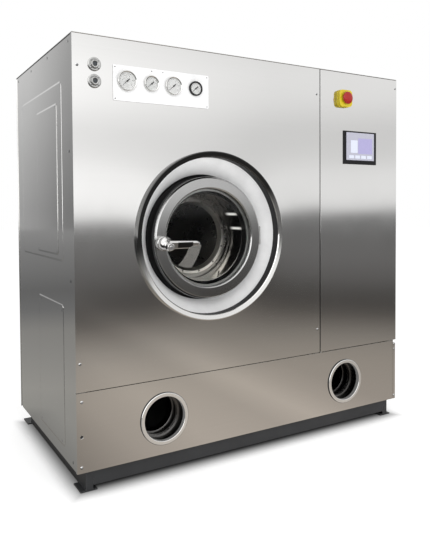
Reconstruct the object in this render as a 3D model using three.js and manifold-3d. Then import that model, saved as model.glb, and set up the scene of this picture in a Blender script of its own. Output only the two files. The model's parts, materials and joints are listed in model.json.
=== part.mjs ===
// A front-loading dry cleaning machine: a stainless cabinet on a painted steel base, with a glazed
// loading door, a rotating drum in a fixed tub, solvent tanks, a still and a control compartment.
//
// Lengths are in millimetres. Inside the machine group x runs from the left side of the cabinet,
// y from the front panels towards the back, and z up from the floor. The group itself is moved so
// that its origin lies on the floor, under the middle of everything the machine reaches.

import * as THREE from "three";
import { mergeVertices } from "three/addons/utils/BufferGeometryUtils.js";
import Module from "manifold-3d";

const wasm = await Module();
wasm.setup();

// ---- Driving dimensions ------------------------------------------------------------------------

const FIT = 0.3; // gap between pieces that touch
const CUT = 2; // how far a cutting shape runs past the face it opens

// Sides of the polygons that stand for round shapes.
const RING_SIDES = 40;
const PORT_SIDES = 32;
const TURNED_SIDES = 24;
const SMALL_SIDES = 16;
const ARC_STEPS = 4;
const BELT_STEPS = 40;

// Cabinet.
const MAIN_WIDTH = 1223; // front panel in front of the drum
const CONTROL_WIDTH = 527; // control door beside it
const SHEET = 2.5; // panel sheet
const TOP_SHEET = 4; // top cover
const FOLD = 14; // depth of the folded panel edges
const DOOR_SEAM = 6; // running gap beside the control door
const PANEL_SEAM = 3; // gap above the lower panel
const EDGE_SEAM = 1; // gap under the top cover and beside the side panels
const SIDE_INSET = 3; // side panel face behind the edge of the front panels
const SIDE_CHAMFER = 22; // lower rear corner of the side panels
const RIGHT_FLANGE = 20; // front flange of the right side panel, beside the lower panel
const FLANGE_DROP = 16; // lower panel's top edge down to the top of that flange
const POST = 40; // square frame posts
const POST_WALL = 3;
const MIDDLE_POST_SETBACK = 6; // middle post behind the others, clear of the control door's swing

// Heights, each counted from the one below.
const BASE_HEIGHT = 90; // floor to the lower edge of the panels
const LOWER_HEIGHT = 316; // lower panel
const DOOR_RISE = 582; // lower panel's top edge to the door's centre
const TOP_RISE = 802; // door's centre to the top of the cabinet

// Base.
const BASE_LEFT = 43; // left edge of the cabinet to the base
const BASE_RIGHT = 37; // base to the right edge of the cabinet
const BASE_SETBACK = 27; // panel face to the base, front and rear
const RAIL_WIDTH = 30; // side rails
const CROSS_RAIL_WIDTH = 40; // front and rear rails
const RAIL_WALL = 4;
const RAIL_CLEAR = 22; // floor to the front and rear rails
const FOOT_WIDTH = 70;
const FOOT_LENGTH = 90;
const FOOT_THICK = 6;
const FOOT_OUT = 22; // rail's outer face out to the foot plate's outer edge
const FOOT_OVERHANG = 41; // rear foot plates behind the back panel
const TRAY_SHEET = 4;
const TRAY_RIM = 25; // height of the tray's rim
const TRAY_INSET = 9; // posts to the rim

// Loading door and the recess round it, from the window outwards.
const WINDOW_RADIUS = 215;
const RING_WIDTH = 52; // steel door ring
const SURROUND_WIDTH = 75; // white surround
const SURROUND_ASIDE = 6; // door's axis to the surround's front edge and the trim ring, to the right
const SURROUND_UP = 9; // and upwards
const TRIM_WALL = 3;
const TRIM_FLANGE = 21; // trim ring on the face of the panel
const TRIM_PROUD = 18; // trim ring's crest in front of the panel
const TRIM_DEPTH = 27; // trim ring's inner wall behind the panel face
const TRIM_LIP_DROP = 7; // crest back to the front edge of the inner wall
const TRIM_SHOULDER_DROP = 3.5; // crest back to the inner shoulder
const TRIM_EDGE = 3; // chamfer of its outer edge
const SURROUND_WALL = 4;
const SURROUND_DEPTH = 96; // panel face to the surround's inner edge
const TUB_SEAT = 4; // surround's inner edge to the tub
const DOOR_FRONT = 14; // panel face to the door ring's face
const DOOR_THICK = 30;
const DOOR_BEVEL = 8; // polished outer edge
const WINDOW_BEVEL = 4; // polished inner edge
const WINDOW_DEPTH = 10; // door ring's face to the glass
const GLASS_THICK = 12;
const GLASS_LAP = 9; // glass held behind the ring
const CLAMP_LAP = 5; // clamp ring beyond the glass
const CLAMP_WIDTH = 24;

// Door hinge, on the right, behind the door ring.
const HINGE_OUT = 12.5; // door ring's edge to the hinge pin
const HINGE_BACK = 2; // door ring's back to the hinge pin
const HINGE_PIN_RADIUS = 4;
const KNUCKLE_RADIUS = 7;
const KNUCKLE_FIXED = 18; // half height of the fixed knuckle
const KNUCKLE_DOOR = 22; // height of each knuckle on the door
const PIN_HEAD = 6.5;
const PIN_HEAD_HEIGHT = 4;
const LEAF_START = 10; // clamp ring's edge inwards to the leaf's root
const BRACKET_FOOT = 6; // thickness of the bracket's foot
const BRACKET_FOOT_WIDTH = 22;
const BRACKET_EDGE = 3; // edge of its seat to its foot
const BRACKET_HEEL = 9; // thickness of its foot at the outer edge
const BRACKET_NECK_LEFT = 11; // pin to the arm's inner side
const BRACKET_NECK_LEFT_BACK = 14;
const BRACKET_NECK_RIGHT = 4; // pin to the arm's outer side
const BRACKET_NECK_RIGHT_BACK = 10.5;

// Door handle, on the left half of the door ring.
const HANDLE_ANGLE = THREE.MathUtils.degToRad(3.9); // below the level of the door's centre
const HANDLE_IN = 5; // middle of the door ring's face in to the spindle
const HANDLE_REACH = 92; // door ring's face to the front of the hub
const HUB_RADIUS = 30;
const HUB_COLLAR = 46; // length of the hub's full-width part
const HUB_CONE = 28; // length of its cone
const BOSS_RADIUS = 16;
const BOSS_DROP = 11; // boss below the spindle's axis
const BOSS_STEP = 2; // shoulder behind the boss and chamfer of its face
const LEVER_LENGTH = 138.5; // spindle to the lever's tip
const LEVER_TOP = 14; // spindle's axis up to the lever's upper edge at the hub
const LEVER_BOTTOM = 20; // spindle's axis down to its lower edge
const LEVER_STRAIGHT = 85.5; // spindle to where the lower edge starts to rise
const LEVER_WAIST = 104.5; // spindle to where it has risen
const LEVER_TIP_TOP = 10; // spindle's axis up to the upper edge at the tip
const LEVER_TIP_BOTTOM = 11;
const LEVER_THICK = 16;
const LEVER_BACK = 62; // door ring's face to the back of the lever
const SPINDLE_RADIUS = 5;
const CAM_LENGTH = 22;
const CAM_WIDTH = 8;
const CAM_THICK = 8;
const CAM_BACK = 3; // door ring's back to the cam

// Drum and tub, from the throat inwards.
const THROAT_STEP = 23; // window's radius down to the throat's
const THROAT_WALL = 3;
const THROAT_LEAD = 18; // door ring's back to the throat's front edge
const THROAT_TAIL = 78; // throat behind the tub's front plate
const GASKET_WALL = 20;
const GASKET_FLANGE = 5;
const GASKET_FOLD_OUTER = 6.7; // fold drawn in from the wall's outside
const GASKET_FOLD_INNER = 3.3; // fold drawn in from the wall's inside
const LIP_OVER = 1; // clamp ring's edge out to the lip's edge
const MOUTH_GAP = 20; // throat's bore down to the drum's mouth ring
const MOUTH_RING_WIDTH = 26;
const MOUTH_RING_THICK = 6;
const MOUTH_FLANGE = 12; // outer edge in to the ring's cone, at its front
const MOUTH_SEAT = 8.5; // outer edge in to the drum's opening
const MOUTH_CONE = 18; // drum's front plate back to the cone's end
const MOUTH_HEM = 3; // thickness of the cone's end
const MOUTH_HEM_DROP = 2;
const DRUM_GAP = 2; // throat to the mouth ring
const DRUM_RADIUS = 400;
const DRUM_WALL = 3;
const DRUM_DEPTH = 430;
const TUB_GAP = 30; // drum to tub, all round and behind
const TUB_WALL = 4;
const LIFTERS = 3;
const LIFTER_HEIGHT = 60;
const LIFTER_ROOT = 70;
const LIFTER_TOP = 26;

// Drive, behind the tub.
const SHAFT_RADIUS = 35;
const BEARING_LENGTH = 130;
const BEARING_RADIUS = 80;
const BEARING_FLANGE = 140;
const BEARING_FLANGE_THICK = 14;
const PULLEY_GAP = 10; // bearing housing to pulley
const PULLEY_WIDTH = 50;
const DRUM_PULLEY_RADIUS = 170;
const PULLEY_RIM = 12;
const PULLEY_HUB = 62;
const PULLEY_WEB = 14;
const SHAFT_TAIL = 20; // shaft behind the pulley
const MOTOR_ANGLE = THREE.MathUtils.degToRad(45); // from straight down towards the control side
const MOTOR_GAP = 13; // tub to motor
const MOTOR_RADIUS = 95;
const MOTOR_LENGTH = 280;
const MOTOR_NOSE = 66; // radius of its front face
const MOTOR_NOSE_LENGTH = 24;
const MOTOR_TAIL = 76; // radius of its rear face
const MOTOR_TAIL_LENGTH = 19;
const MOTOR_STAND_IN = 47; // motor's ends to its stand
const MOTOR_STAND_TOP = 66; // motor's axis down to the top of its stand
const MOTOR_SHAFT_RADIUS = 14;
const MOTOR_SHAFT_SEAT = 55;
const MOTOR_STAND_WIDTH = 120;
const MOTOR_PULLEY_RADIUS = 45;
const MOTOR_PULLEY_GAP = 30;
const BELT_THICK = 6;
const BELT_WIDTH = 40;
const DRIVE_ROOM = 287; // tub to the back panel

// Tanks, ports, still and pump.
const TANK_TOP_GAP = 6; // under the top edge of the lower panel
const TANK_WALL = 4;
const TANK_SIDE_GAP = 10; // posts to tank
const TANK_FRONT = 76; // panel face to tank
const TANK_BACK_GAP = 80; // tank to back panel
const PORT_LEFT = 376; // left edge of the cabinet to the left port
const PORT_RIGHT = 161; // seam to the right port
const PORT_RISE = 150; // lower edge of the panel to the ports
const PORT_RADIUS = 93;
const PORT_RING_WIDTH = 15.5;
const PORT_PROUD = 7;
const PORT_RING_EDGE = 3.5; // chamfer of the ring's outer edge
const PORT_WALL = 3;
const NECK_STEP = 4; // port's radius up to the neck's
const NECK_DEPTH = 165;
const BEAD_FIRST = 54; // depth of the first bead inside the neck
const BEAD_SECOND = 72;
const BEAD_WIDTH = 5;
const BEAD_HEIGHT = 7;
const CRADLE_HALF = 260;
const CRADLE_PLATE = 12;
const CRADLE_LENGTH = 360;
const CRADLE_FRONT = 60; // tub's front to the cradle
const STILL_RADIUS = 180;
const STILL_HEIGHT = 640;
const STILL_FLANGE = 14;
const STILL_WALL = 5;
const STILL_NECK = 45;
const STILL_NECK_LENGTH = 90;
const STILL_SHOULDER = 90; // height of the cone under the neck
const STILL_SEAM = 360; // still's base to its flange
const STILL_BACK = 300; // still's axis to the back panel
const PUMP_RADIUS = 58;
const PUMP_VOLUTE = 76;
const PUMP_LENGTH = 220;
const PUMP_INLET = 19;
const PUMP_NOSE = 19; // inlet face to the volute's rim
const PUMP_VOLUTE_BACK = 58;
const PUMP_SHOULDER = 70; // inlet face to the start of its motor
const PUMP_FOOT_IN = 29; // pump's ends to its foot
const PUMP_FOOT_TOP = 29; // pump's axis down to the top of its foot
const PUMP_FRONT = 190;
const PUMP_SEAM_GAP = 125; // pump's axis to the seam
const PUMP_FOOT = 90;

// Gauge plate.
const GAUGE_DROP = 167; // top of the cabinet to the gauges
const PLATE_LEFT = 163;
const PLATE_ABOVE = 61; // gauge axis to the plate's upper edge
const PLATE_BELOW = 79;
const PLATE_END = 65; // last gauge to the plate's right edge
const PLATE_THICK = 3;
const PLATE_CORNER = 4;
const PLATE_ARC_STEPS = 3;
const GAUGE_STEPS = [57.5, 106, 99.5, 104.5]; // from the plate's left edge, then from gauge to gauge
const GAUGE_RADII = [40, 32, 37.5, 30.5];
const GAUGE_PROUD = 12; // bezel in front of the plate
const GAUGE_RECESS = 7; // bezel to dial
const GAUGE_BEZEL = 4.5; // width of the bezel
const BEZEL_FALL = 2;
const BEZEL_FUNNEL = 3; // width and depth of the bezel's sloping inner face
const STEEL_BEZELS = 3; // gauges with a steel bezel, from the left
const GAUGE_STEP_IN = 6; // bezel radius down to the case behind the panel
const GAUGE_BACK = 35;
const NEEDLE_ZERO = THREE.MathUtils.degToRad(222); // needle at rest, anticlockwise from +x
const NEEDLE_HUB = 3.5;
const NEEDLE_CAP = 1; // hub's cap in front of the blade
const NEEDLE_ROOT_HALF = 1.75; // half width of the blade at the hub
const NEEDLE_TAIL_HALF = 2.2; // half width at the tail
const NEEDLE_THICK = 1;
const NEEDLE_LIFT = 1.5; // needle in front of the dial
const NEEDLE_MARGIN = 4; // tip to the bezel's inside
const NEEDLE_TAIL = 13;

// Sight glasses.
const SIGHT_LEFT = 88;
const SIGHT_DROPS = [115, 180]; // from the top of the cabinet
const SIGHT_RADIUS = 26.5;
const SIGHT_FLANGE = 6;
const SIGHT_COLLAR = 15;
const SIGHT_PROUD = 13;
const SIGHT_EYE = 9;
const SIGHT_BARREL = 12;
const SIGHT_BACK = 28;

// Emergency stop and touch panel, on the control door.
const STOP_FROM_SEAM = 149;
const STOP_DROP = 134; // top of the cabinet to the button
const STOP_HALF = 42;
const STOP_CORNER = 20;
const STOP_FLANGE = 8;
const STOP_GROOVE = 3;
const STOP_GROOVE_IN = 4;
const STOP_HEIGHT = 22;
const STOP_BARREL = 15;
const STOP_BARREL_BACK = 30;
const STOP_STEM = 11;
const STOP_CAP_RADIUS = 30;
const STOP_CAP_HEIGHT = 16;
const CAP_CROWN = 16.5; // radius of the cap's flat crown
const CAP_CROWN_DROP = 1;
const CAP_BROW = 26; // radius where the crown turns down
const CAP_BROW_DROP = 4;
const CAP_RIM_DROP = 8;
const CAP_HEM = 2.7; // cap's back to the end of its rim
const CAP_UNDER = 25.5; // radius of the cap's back
const STOP_BODY_IN = 1; // housing's flange in to its body
const STOP_CAP_GAP = 6.5; // housing to cap: the button's travel and a little more
const STOP_NOSE = 6;
const STOP_NOSE_LENGTH = 8;
const SCREEN_FROM_SEAM = 149;
const SCREEN_DROP = 290;
const SCREEN_WIDTH = 226;
const SCREEN_HEIGHT = 166;
const SCREEN_PROUD = 3;
const SCREEN_BACK = 45;
const SCREEN_LIP = 10;
const GLASS_LEFT = 20; // borders round the display
const GLASS_RIGHT = 14;
const GLASS_TOP = 6;
const GLASS_BOTTOM = 20;
const GLASS_SINK = 1.2;
const ROD_RADIUS = 3; // control door's hinge rod
const ROD_IN = 5.5; // door's folded edge to the rod
const ROD_BACK = 8; // panel face to the rod

// Covers and pressings on the side panels: [front, back, bottom, top] from the panel face and floor.
const PRESSING = [155, 830, 907, 1630];
const PRESSING_HEIGHT = 1.2;
const PRESSING_CORNER = 25;
const UPPER_COVER = [220, 540, 930, 1550];
const LOWER_COVER = [164, 543, 143, 726];
const COVER_SHEET = 1.5;
const COVER_CORNER = 12;

// Supply connections and vent slots on the back panel.
const UNION_RADII = [14, 17, 21, 21]; // cable gland, air, water in, water out
const UNION_LENGTH = 34;
const UNION_BORE = 5; // wall left round each bore
const UNION_PITCH = 95;
const UNION_RISE = 620; // lower edge of the panel to the connections
const UNION_LEFT = 150; // seam to the first connection
const VENT_SLOTS = 6;
const VENT_PITCH = 34;
const VENT_WIDTH = 220;
const VENT_HEIGHT = 9;
const VENT_DROP = 160; // top of the cabinet to the first slot
const VENT_LEFT = 150; // seam to the slots
const LOWER_HOLE = 6; // radius of the open hole in the lower panel
const LOWER_HOLE_PLACE = [20, 143];

// ---- Derived dimensions ------------------------------------------------------------------------

const WIDTH = MAIN_WIDTH + CONTROL_WIDTH;
const LOWER_TOP = BASE_HEIGHT + LOWER_HEIGHT;
const DOOR_X = MAIN_WIDTH / 2;
const DOOR_Z = LOWER_TOP + DOOR_RISE;
const HEIGHT = DOOR_Z + TOP_RISE;
const PANEL_TOP = HEIGHT - TOP_SHEET - EDGE_SEAM;

const DOOR_RADIUS = WINDOW_RADIUS + RING_WIDTH;
const RECESS_X = DOOR_X + SURROUND_ASIDE;
const RECESS_Z = DOOR_Z + SURROUND_UP;
const RECESS_RADIUS = DOOR_RADIUS + SURROUND_WIDTH;
const TRIM_RADIUS = RECESS_RADIUS + TRIM_WALL + TRIM_FLANGE;
const DOOR_BACK = DOOR_FRONT + DOOR_THICK;
const GLASS_FRONT = DOOR_FRONT + WINDOW_DEPTH;
const GLASS_RADIUS = WINDOW_RADIUS + GLASS_LAP;
const CLAMP_RADIUS = GLASS_RADIUS + CLAMP_LAP;
const CLAMP_FRONT = GLASS_FRONT + GLASS_THICK + FIT;
const HINGE_X = DOOR_RADIUS + HINGE_OUT;
const HINGE_Y = DOOR_BACK + HINGE_BACK;
const HINGE_HALF = KNUCKLE_FIXED + FIT + KNUCKLE_DOOR;
const HANDLE_RADIUS = WINDOW_RADIUS + RING_WIDTH / 2 - HANDLE_IN;
const HANDLE_X = -HANDLE_RADIUS * Math.cos(HANDLE_ANGLE);
const HANDLE_Z = -HANDLE_RADIUS * Math.sin(HANDLE_ANGLE);

const TUB_FRONT = SURROUND_DEPTH + TUB_SEAT;
const THROAT_RADIUS = WINDOW_RADIUS - THROAT_STEP;
const THROAT_FRONT = DOOR_BACK + THROAT_LEAD;
const THROAT_BACK = TUB_FRONT + TUB_WALL + THROAT_TAIL;
const MOUTH_OUTER = THROAT_RADIUS - MOUTH_GAP;
const MOUTH_RADIUS = MOUTH_OUTER - MOUTH_RING_WIDTH;
const MOUTH_FRONT = THROAT_BACK + DRUM_GAP;
const DRUM_FRONT = MOUTH_FRONT + MOUTH_RING_THICK;
const DRUM_BACK = DRUM_FRONT + DRUM_DEPTH;
const TUB_RADIUS = DRUM_RADIUS + TUB_GAP;
const TUB_OUTER = TUB_RADIUS + TUB_WALL;
const TUB_BACK = DRUM_BACK + TUB_GAP + TUB_WALL;
const BEARING_BACK = TUB_BACK + BEARING_LENGTH;
const PULLEY_FRONT = BEARING_BACK + PULLEY_GAP;
const PULLEY_BACK = PULLEY_FRONT + PULLEY_WIDTH;
const SHAFT_END = PULLEY_BACK + SHAFT_TAIL;
const DEPTH = TUB_BACK + DRIVE_ROOM;
const MOTOR_DISTANCE = TUB_OUTER + MOTOR_GAP + MOTOR_RADIUS;
const MOTOR_X = MOTOR_DISTANCE * Math.sin(MOTOR_ANGLE);
const MOTOR_Z = -MOTOR_DISTANCE * Math.cos(MOTOR_ANGLE);
const MOTOR_BACK = PULLEY_FRONT - MOTOR_PULLEY_GAP;

const TRAY_TOP = BASE_HEIGHT + TRAY_SHEET;
const TANK_TOP = LOWER_TOP - TANK_TOP_GAP;
const PORT_Z = BASE_HEIGHT + PORT_RISE;
const PORT_INNER = PORT_RADIUS + PORT_WALL;
const POST_LEFT = SIDE_INSET + SHEET + FIT;
const GAUGE_Z = HEIGHT - GAUGE_DROP;
const PLATE_FACE = -(PLATE_THICK + FIT);
const GAUGE_XS = GAUGE_STEPS.map(
  (_, i) => PLATE_LEFT + GAUGE_STEPS.slice(0, i + 1).reduce((sum, step) => sum + step, 0),
);
const PLATE_RIGHT = GAUGE_XS[GAUGE_XS.length - 1] + PLATE_END;

const FRONT_REACH = HANDLE_REACH - DOOR_FRONT;
const REAR_REACH = DEPTH + FOOT_OVERHANG;

// ---- Finishes ----------------------------------------------------------------------------------

const finish = (color, metalness, roughness, opacity = 1) =>
  new THREE.MeshStandardMaterial({
    color,
    metalness,
    roughness,
    opacity,
    transparent: opacity < 1,
  });
const brushedSteel = () => finish(0xb9b7b3, 1, 0.32);
const polishedSteel = () => finish(0xd2d1ce, 1, 0.12);
const mattSteel = () => finish(0x8f8e8a, 1, 0.5);
const painted = () => finish(0x4a4b4b, 0.2, 0.55);
const enamel = () => finish(0xeeeeec, 0, 0.35);
const rubber = () => finish(0x17181a, 0, 0.8);
const doorGlass = () => finish(0x9fb0b0, 0, 0.05, 0.3);
const redPlastic = () => finish(0xc01f16, 0, 0.4);
const yellowPlastic = () => finish(0xf2cf12, 0, 0.45);
const blackPlastic = () => finish(0x1b1c1e, 0, 0.45);
const motorPaint = () => finish(0x37516b, 0.2, 0.5);

// ---- Shapes ------------------------------------------------------------------------------------

// A closed geometry as a solid: shared corners merged, collapsed triangles dropped.
function solidOf(geometry) {
  const bare = new THREE.BufferGeometry();
  bare.setAttribute("position", geometry.getAttribute("position"));
  bare.setIndex(geometry.index);
  const merged = mergeVertices(bare, 1e-3);
  const corners = merged.index.array;
  const kept = [];
  for (let i = 0; i < corners.length; i += 3) {
    const [a, b, c] = corners.slice(i, i + 3);
    if (a !== b && b !== c && c !== a) kept.push(a, b, c);
  }
  const mesh = new wasm.Mesh({
    numProp: 3,
    vertProperties: merged.getAttribute("position").array,
    triVerts: new Uint32Array(kept),
  });
  return new wasm.Manifold(mesh);
}

function block(x0, x1, y0, y1, z0, z1) {
  const box = new THREE.BoxGeometry(x1 - x0, y1 - y0, z1 - z0);
  return solidOf(box.translate((x0 + x1) / 2, (y0 + y1) / 2, (z0 + z1) / 2));
}

// A profile of [radius, depth] pairs turned about the y axis. It may run either way round.
function turnedGeometry(profile, sides) {
  const onAxis = profile[0][0] === 0;
  const points = onAxis ? profile : [...profile, profile[0]];
  const loop = [...profile, profile[0]];
  const area = profile.reduce(
    (sum, [r, y], i) => sum + r * loop[i + 1][1] - loop[i + 1][0] * y,
    0,
  );
  const ordered = area > 0 ? points : [...points].reverse();
  return new THREE.LatheGeometry(
    ordered.map(([r, y]) => new THREE.Vector2(r, y)),
    sides,
  );
}
const turned = (profile, sides) => solidOf(turnedGeometry(profile, sides));

// A turned shape that moves aside and up along its axis, from none at one depth to all at another.
function leaning(profile, sides, from, to, aside, up) {
  const geometry = turnedGeometry(profile, sides);
  const places = geometry.attributes.position;
  for (let i = 0; i < places.count; i += 1) {
    const share = THREE.MathUtils.clamp((places.getY(i) - from) / (to - from), 0, 1);
    places.setX(i, places.getX(i) + aside * share);
    places.setZ(i, places.getZ(i) + up * share);
  }
  return solidOf(geometry);
}

// The same, turned about the z axis.
function turnedUpright(profile, sides) {
  return turned(
    profile.map(([r, z]) => [r, z]),
    sides,
  ).rotate([90, 0, 0]);
}

const disc = (radius, y0, y1, sides) =>
  turned(
    [
      [0, y0],
      [radius, y0],
      [radius, y1],
      [0, y1],
    ],
    sides,
  );

// Radius of a hole, drawn as a polygon, that leaves FIT all round a shaft turning in it.
const boreFor = (radius, sides) => (radius + FIT) / Math.cos(Math.PI / sides);

// An outline in x and z carried along y, in y and z along x, or in x and y along z.
const AXIS_X = new THREE.Vector3(1, 0, 0);
const AXIS_Y = new THREE.Vector3(0, 1, 0);
const AXIS_Z = new THREE.Vector3(0, 0, 1);

function extruded(shape, depth, basis, curveSegments) {
  const geometry = new THREE.ExtrudeGeometry(shape, { depth, bevelEnabled: false, curveSegments });
  return solidOf(geometry.applyMatrix4(basis));
}
function alongY(shape, y0, y1, curveSegments = ARC_STEPS) {
  const basis = new THREE.Matrix4().makeBasis(AXIS_X, AXIS_Z, AXIS_Y.clone().negate());
  return extruded(shape, y1 - y0, basis, curveSegments).translate([0, y1, 0]);
}
function alongX(shape, x0, x1, curveSegments = ARC_STEPS) {
  const basis = new THREE.Matrix4().makeBasis(AXIS_Y, AXIS_Z, AXIS_X);
  return extruded(shape, x1 - x0, basis, curveSegments).translate([x0, 0, 0]);
}
function alongZ(shape, z0, z1, curveSegments = ARC_STEPS) {
  return extruded(shape, z1 - z0, new THREE.Matrix4(), curveSegments).translate([0, 0, z0]);
}

const polygon = (points) => new THREE.Shape(points.map(([a, b]) => new THREE.Vector2(a, b)));

function roundedRectangle(a0, a1, b0, b1, radius) {
  const shape = new THREE.Shape();
  const quarter = Math.PI / 2;
  shape.absarc(a1 - radius, b0 + radius, radius, -quarter, 0, false);
  shape.absarc(a1 - radius, b1 - radius, radius, 0, quarter, false);
  shape.absarc(a0 + radius, b1 - radius, radius, quarter, 2 * quarter, false);
  shape.absarc(a0 + radius, b0 + radius, radius, 2 * quarter, 3 * quarter, false);
  shape.closePath();
  return shape;
}

// A named mesh made from a solid.
function piece(parent, name, solid, material) {
  const { vertProperties, triVerts } = solid.getMesh();
  const geometry = new THREE.BufferGeometry();
  geometry.setAttribute("position", new THREE.BufferAttribute(vertProperties, 3));
  geometry.setIndex(new THREE.BufferAttribute(triVerts, 1));
  geometry.computeVertexNormals();
  const mesh = new THREE.Mesh(geometry, material);
  mesh.name = name;
  parent.add(mesh);
  return mesh;
}

function groupAt(parent, x, y, z) {
  const group = new THREE.Group();
  group.position.set(x, y, z);
  parent.add(group);
  return group;
}

const machine = new THREE.Group();
const doorway = groupAt(machine, DOOR_X, 0, DOOR_Z);

// ---- Base --------------------------------------------------------------------------------------

// A side rail: a channel open towards the middle, closed at the front, on two foot plates.
function sideRail(left, openRight) {
  const right = left + RAIL_WIDTH;
  const front = BASE_SETBACK;
  const back = DEPTH - BASE_SETBACK;
  const top = BASE_HEIGHT - FIT;
  const hollowLeft = openRight ? left + RAIL_WALL : left - CUT;
  const hollowRight = openRight ? right + CUT : right - RAIL_WALL;
  const hollow = block(hollowLeft, hollowRight, front + RAIL_WALL, back + CUT,
    RAIL_WALL, top - RAIL_WALL);
  const plateLeft = openRight ? left - FOOT_OUT : right + FOOT_OUT - FOOT_WIDTH;
  const plate = (y0) =>
    block(plateLeft, plateLeft + FOOT_WIDTH, y0, y0 + FOOT_LENGTH, 0, FOOT_THICK);
  return block(left, right, front, back, 0, top)
    .subtract(hollow)
    .add(plate(front))
    .add(plate(REAR_REACH - FOOT_LENGTH));
}
const railRight = WIDTH - BASE_RIGHT - RAIL_WIDTH;
piece(machine, "base_rail_left", sideRail(BASE_LEFT, true), painted());
piece(machine, "base_rail_right", sideRail(railRight, false), painted());

// A cross rail: a channel between the side rails, open towards the middle of the base.
function crossRail(y0, openBack) {
  const x0 = BASE_LEFT + RAIL_WIDTH + FIT;
  const x1 = railRight - FIT;
  const y1 = y0 + CROSS_RAIL_WIDTH;
  const top = BASE_HEIGHT - FIT;
  const hollowFront = openBack ? y0 + RAIL_WALL : y0 - CUT;
  const hollowBack = openBack ? y1 + CUT : y1 - RAIL_WALL;
  const hollow = block(x0 - CUT, x1 + CUT, hollowFront, hollowBack,
    RAIL_CLEAR + RAIL_WALL, top - RAIL_WALL);
  return block(x0, x1, y0, y1, RAIL_CLEAR, top).subtract(hollow);
}
const rearRailFront = DEPTH - BASE_SETBACK - CROSS_RAIL_WIDTH;
piece(machine, "base_rail_front", crossRail(BASE_SETBACK, true), painted());
piece(machine, "base_rail_rear", crossRail(rearRailFront, false), painted());

// The floor tray: a sheet over the whole base with a welded rim that would hold a spill.
const trayFront = FOLD + FIT;
const trayBack = DEPTH - SHEET - FIT;
const rimLeft = POST_LEFT + POST + TRAY_INSET;
const rimFront = trayFront + POST + TRAY_INSET;
const rimOuter = block(rimLeft, WIDTH - rimLeft, rimFront, DEPTH - rimFront,
  BASE_HEIGHT, TRAY_TOP + TRAY_RIM);
const rimInner = block(rimLeft + TRAY_SHEET, WIDTH - rimLeft - TRAY_SHEET,
  rimFront + TRAY_SHEET, DEPTH - rimFront - TRAY_SHEET, TRAY_TOP, TRAY_TOP + TRAY_RIM + CUT);
piece(
  machine,
  "floor_tray",
  block(POST_LEFT, WIDTH - POST_LEFT, trayFront, trayBack, BASE_HEIGHT, TRAY_TOP)
    .add(rimOuter)
    .subtract(rimInner),
  mattSteel(),
);

// ---- Frame posts -------------------------------------------------------------------------------

function post(name, x0, y0) {
  const top = HEIGHT - TOP_SHEET - FIT;
  const bottom = TRAY_TOP + FIT;
  const bore = block(x0 + POST_WALL, x0 + POST - POST_WALL, y0 + POST_WALL, y0 + POST - POST_WALL,
    bottom - CUT, top + CUT);
  const tube = block(x0, x0 + POST, y0, y0 + POST, bottom, top).subtract(bore);
  piece(machine, name, tube, mattSteel());
}
const postRight = WIDTH - POST_LEFT - POST;
const postBack = trayBack - POST;
post("post_front_left", POST_LEFT, trayFront);
post("post_front_right", postRight, trayFront);
post("post_rear_left", POST_LEFT, postBack);
post("post_rear_right", postRight, postBack);
post("post_middle", MAIN_WIDTH - POST / 2, trayFront + MIDDLE_POST_SETBACK);

// ---- Panels ------------------------------------------------------------------------------------

// A panel of folded sheet: a flat face with all four edges turned back.
function foldedPanel(x0, x1, z0, z1) {
  const hollow = block(x0 + SHEET, x1 - SHEET, SHEET, FOLD + CUT, z0 + SHEET, z1 - SHEET);
  return block(x0, x1, 0, FOLD, z0, z1).subtract(hollow);
}
const throughSheet = (radius, x, z, sides) =>
  disc(radius, -CUT, FOLD + CUT, sides).translate([x, 0, z]);

const seamLeft = MAIN_WIDTH - DOOR_SEAM / 2;
const seamRight = MAIN_WIDTH + DOOR_SEAM / 2;
const upperBottom = LOWER_TOP + PANEL_SEAM / 2;

let frontPanel = foldedPanel(0, seamLeft, upperBottom, PANEL_TOP).subtract(
  throughSheet(RECESS_RADIUS + TRIM_WALL + FIT, RECESS_X, RECESS_Z, RING_SIDES),
);
GAUGE_XS.forEach((x, i) => {
  const hole = GAUGE_RADII[i] - GAUGE_STEP_IN + FIT;
  frontPanel = frontPanel.subtract(throughSheet(hole, x, GAUGE_Z, TURNED_SIDES));
});
for (const drop of SIGHT_DROPS) {
  const hole = throughSheet(SIGHT_BARREL + FIT, SIGHT_LEFT, HEIGHT - drop, SMALL_SIDES);
  frontPanel = frontPanel.subtract(hole);
}
piece(machine, "front_panel", frontPanel, brushedSteel());

const lowerRight = WIDTH - RIGHT_FLANGE - EDGE_SEAM;
const lowerTop = LOWER_TOP - PANEL_SEAM / 2;
const portXs = [PORT_LEFT, MAIN_WIDTH + PORT_RIGHT];
let lowerPanel = foldedPanel(0, lowerRight, BASE_HEIGHT, lowerTop);
for (const x of portXs) {
  lowerPanel = lowerPanel.subtract(throughSheet(PORT_INNER + FIT, x, PORT_Z, PORT_SIDES));
}
const [holeX, holeRise] = LOWER_HOLE_PLACE;
lowerPanel = lowerPanel.subtract(
  throughSheet(LOWER_HOLE, holeX, BASE_HEIGHT + holeRise, SMALL_SIDES),
);
piece(machine, "lower_panel", lowerPanel, brushedSteel());

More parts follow.
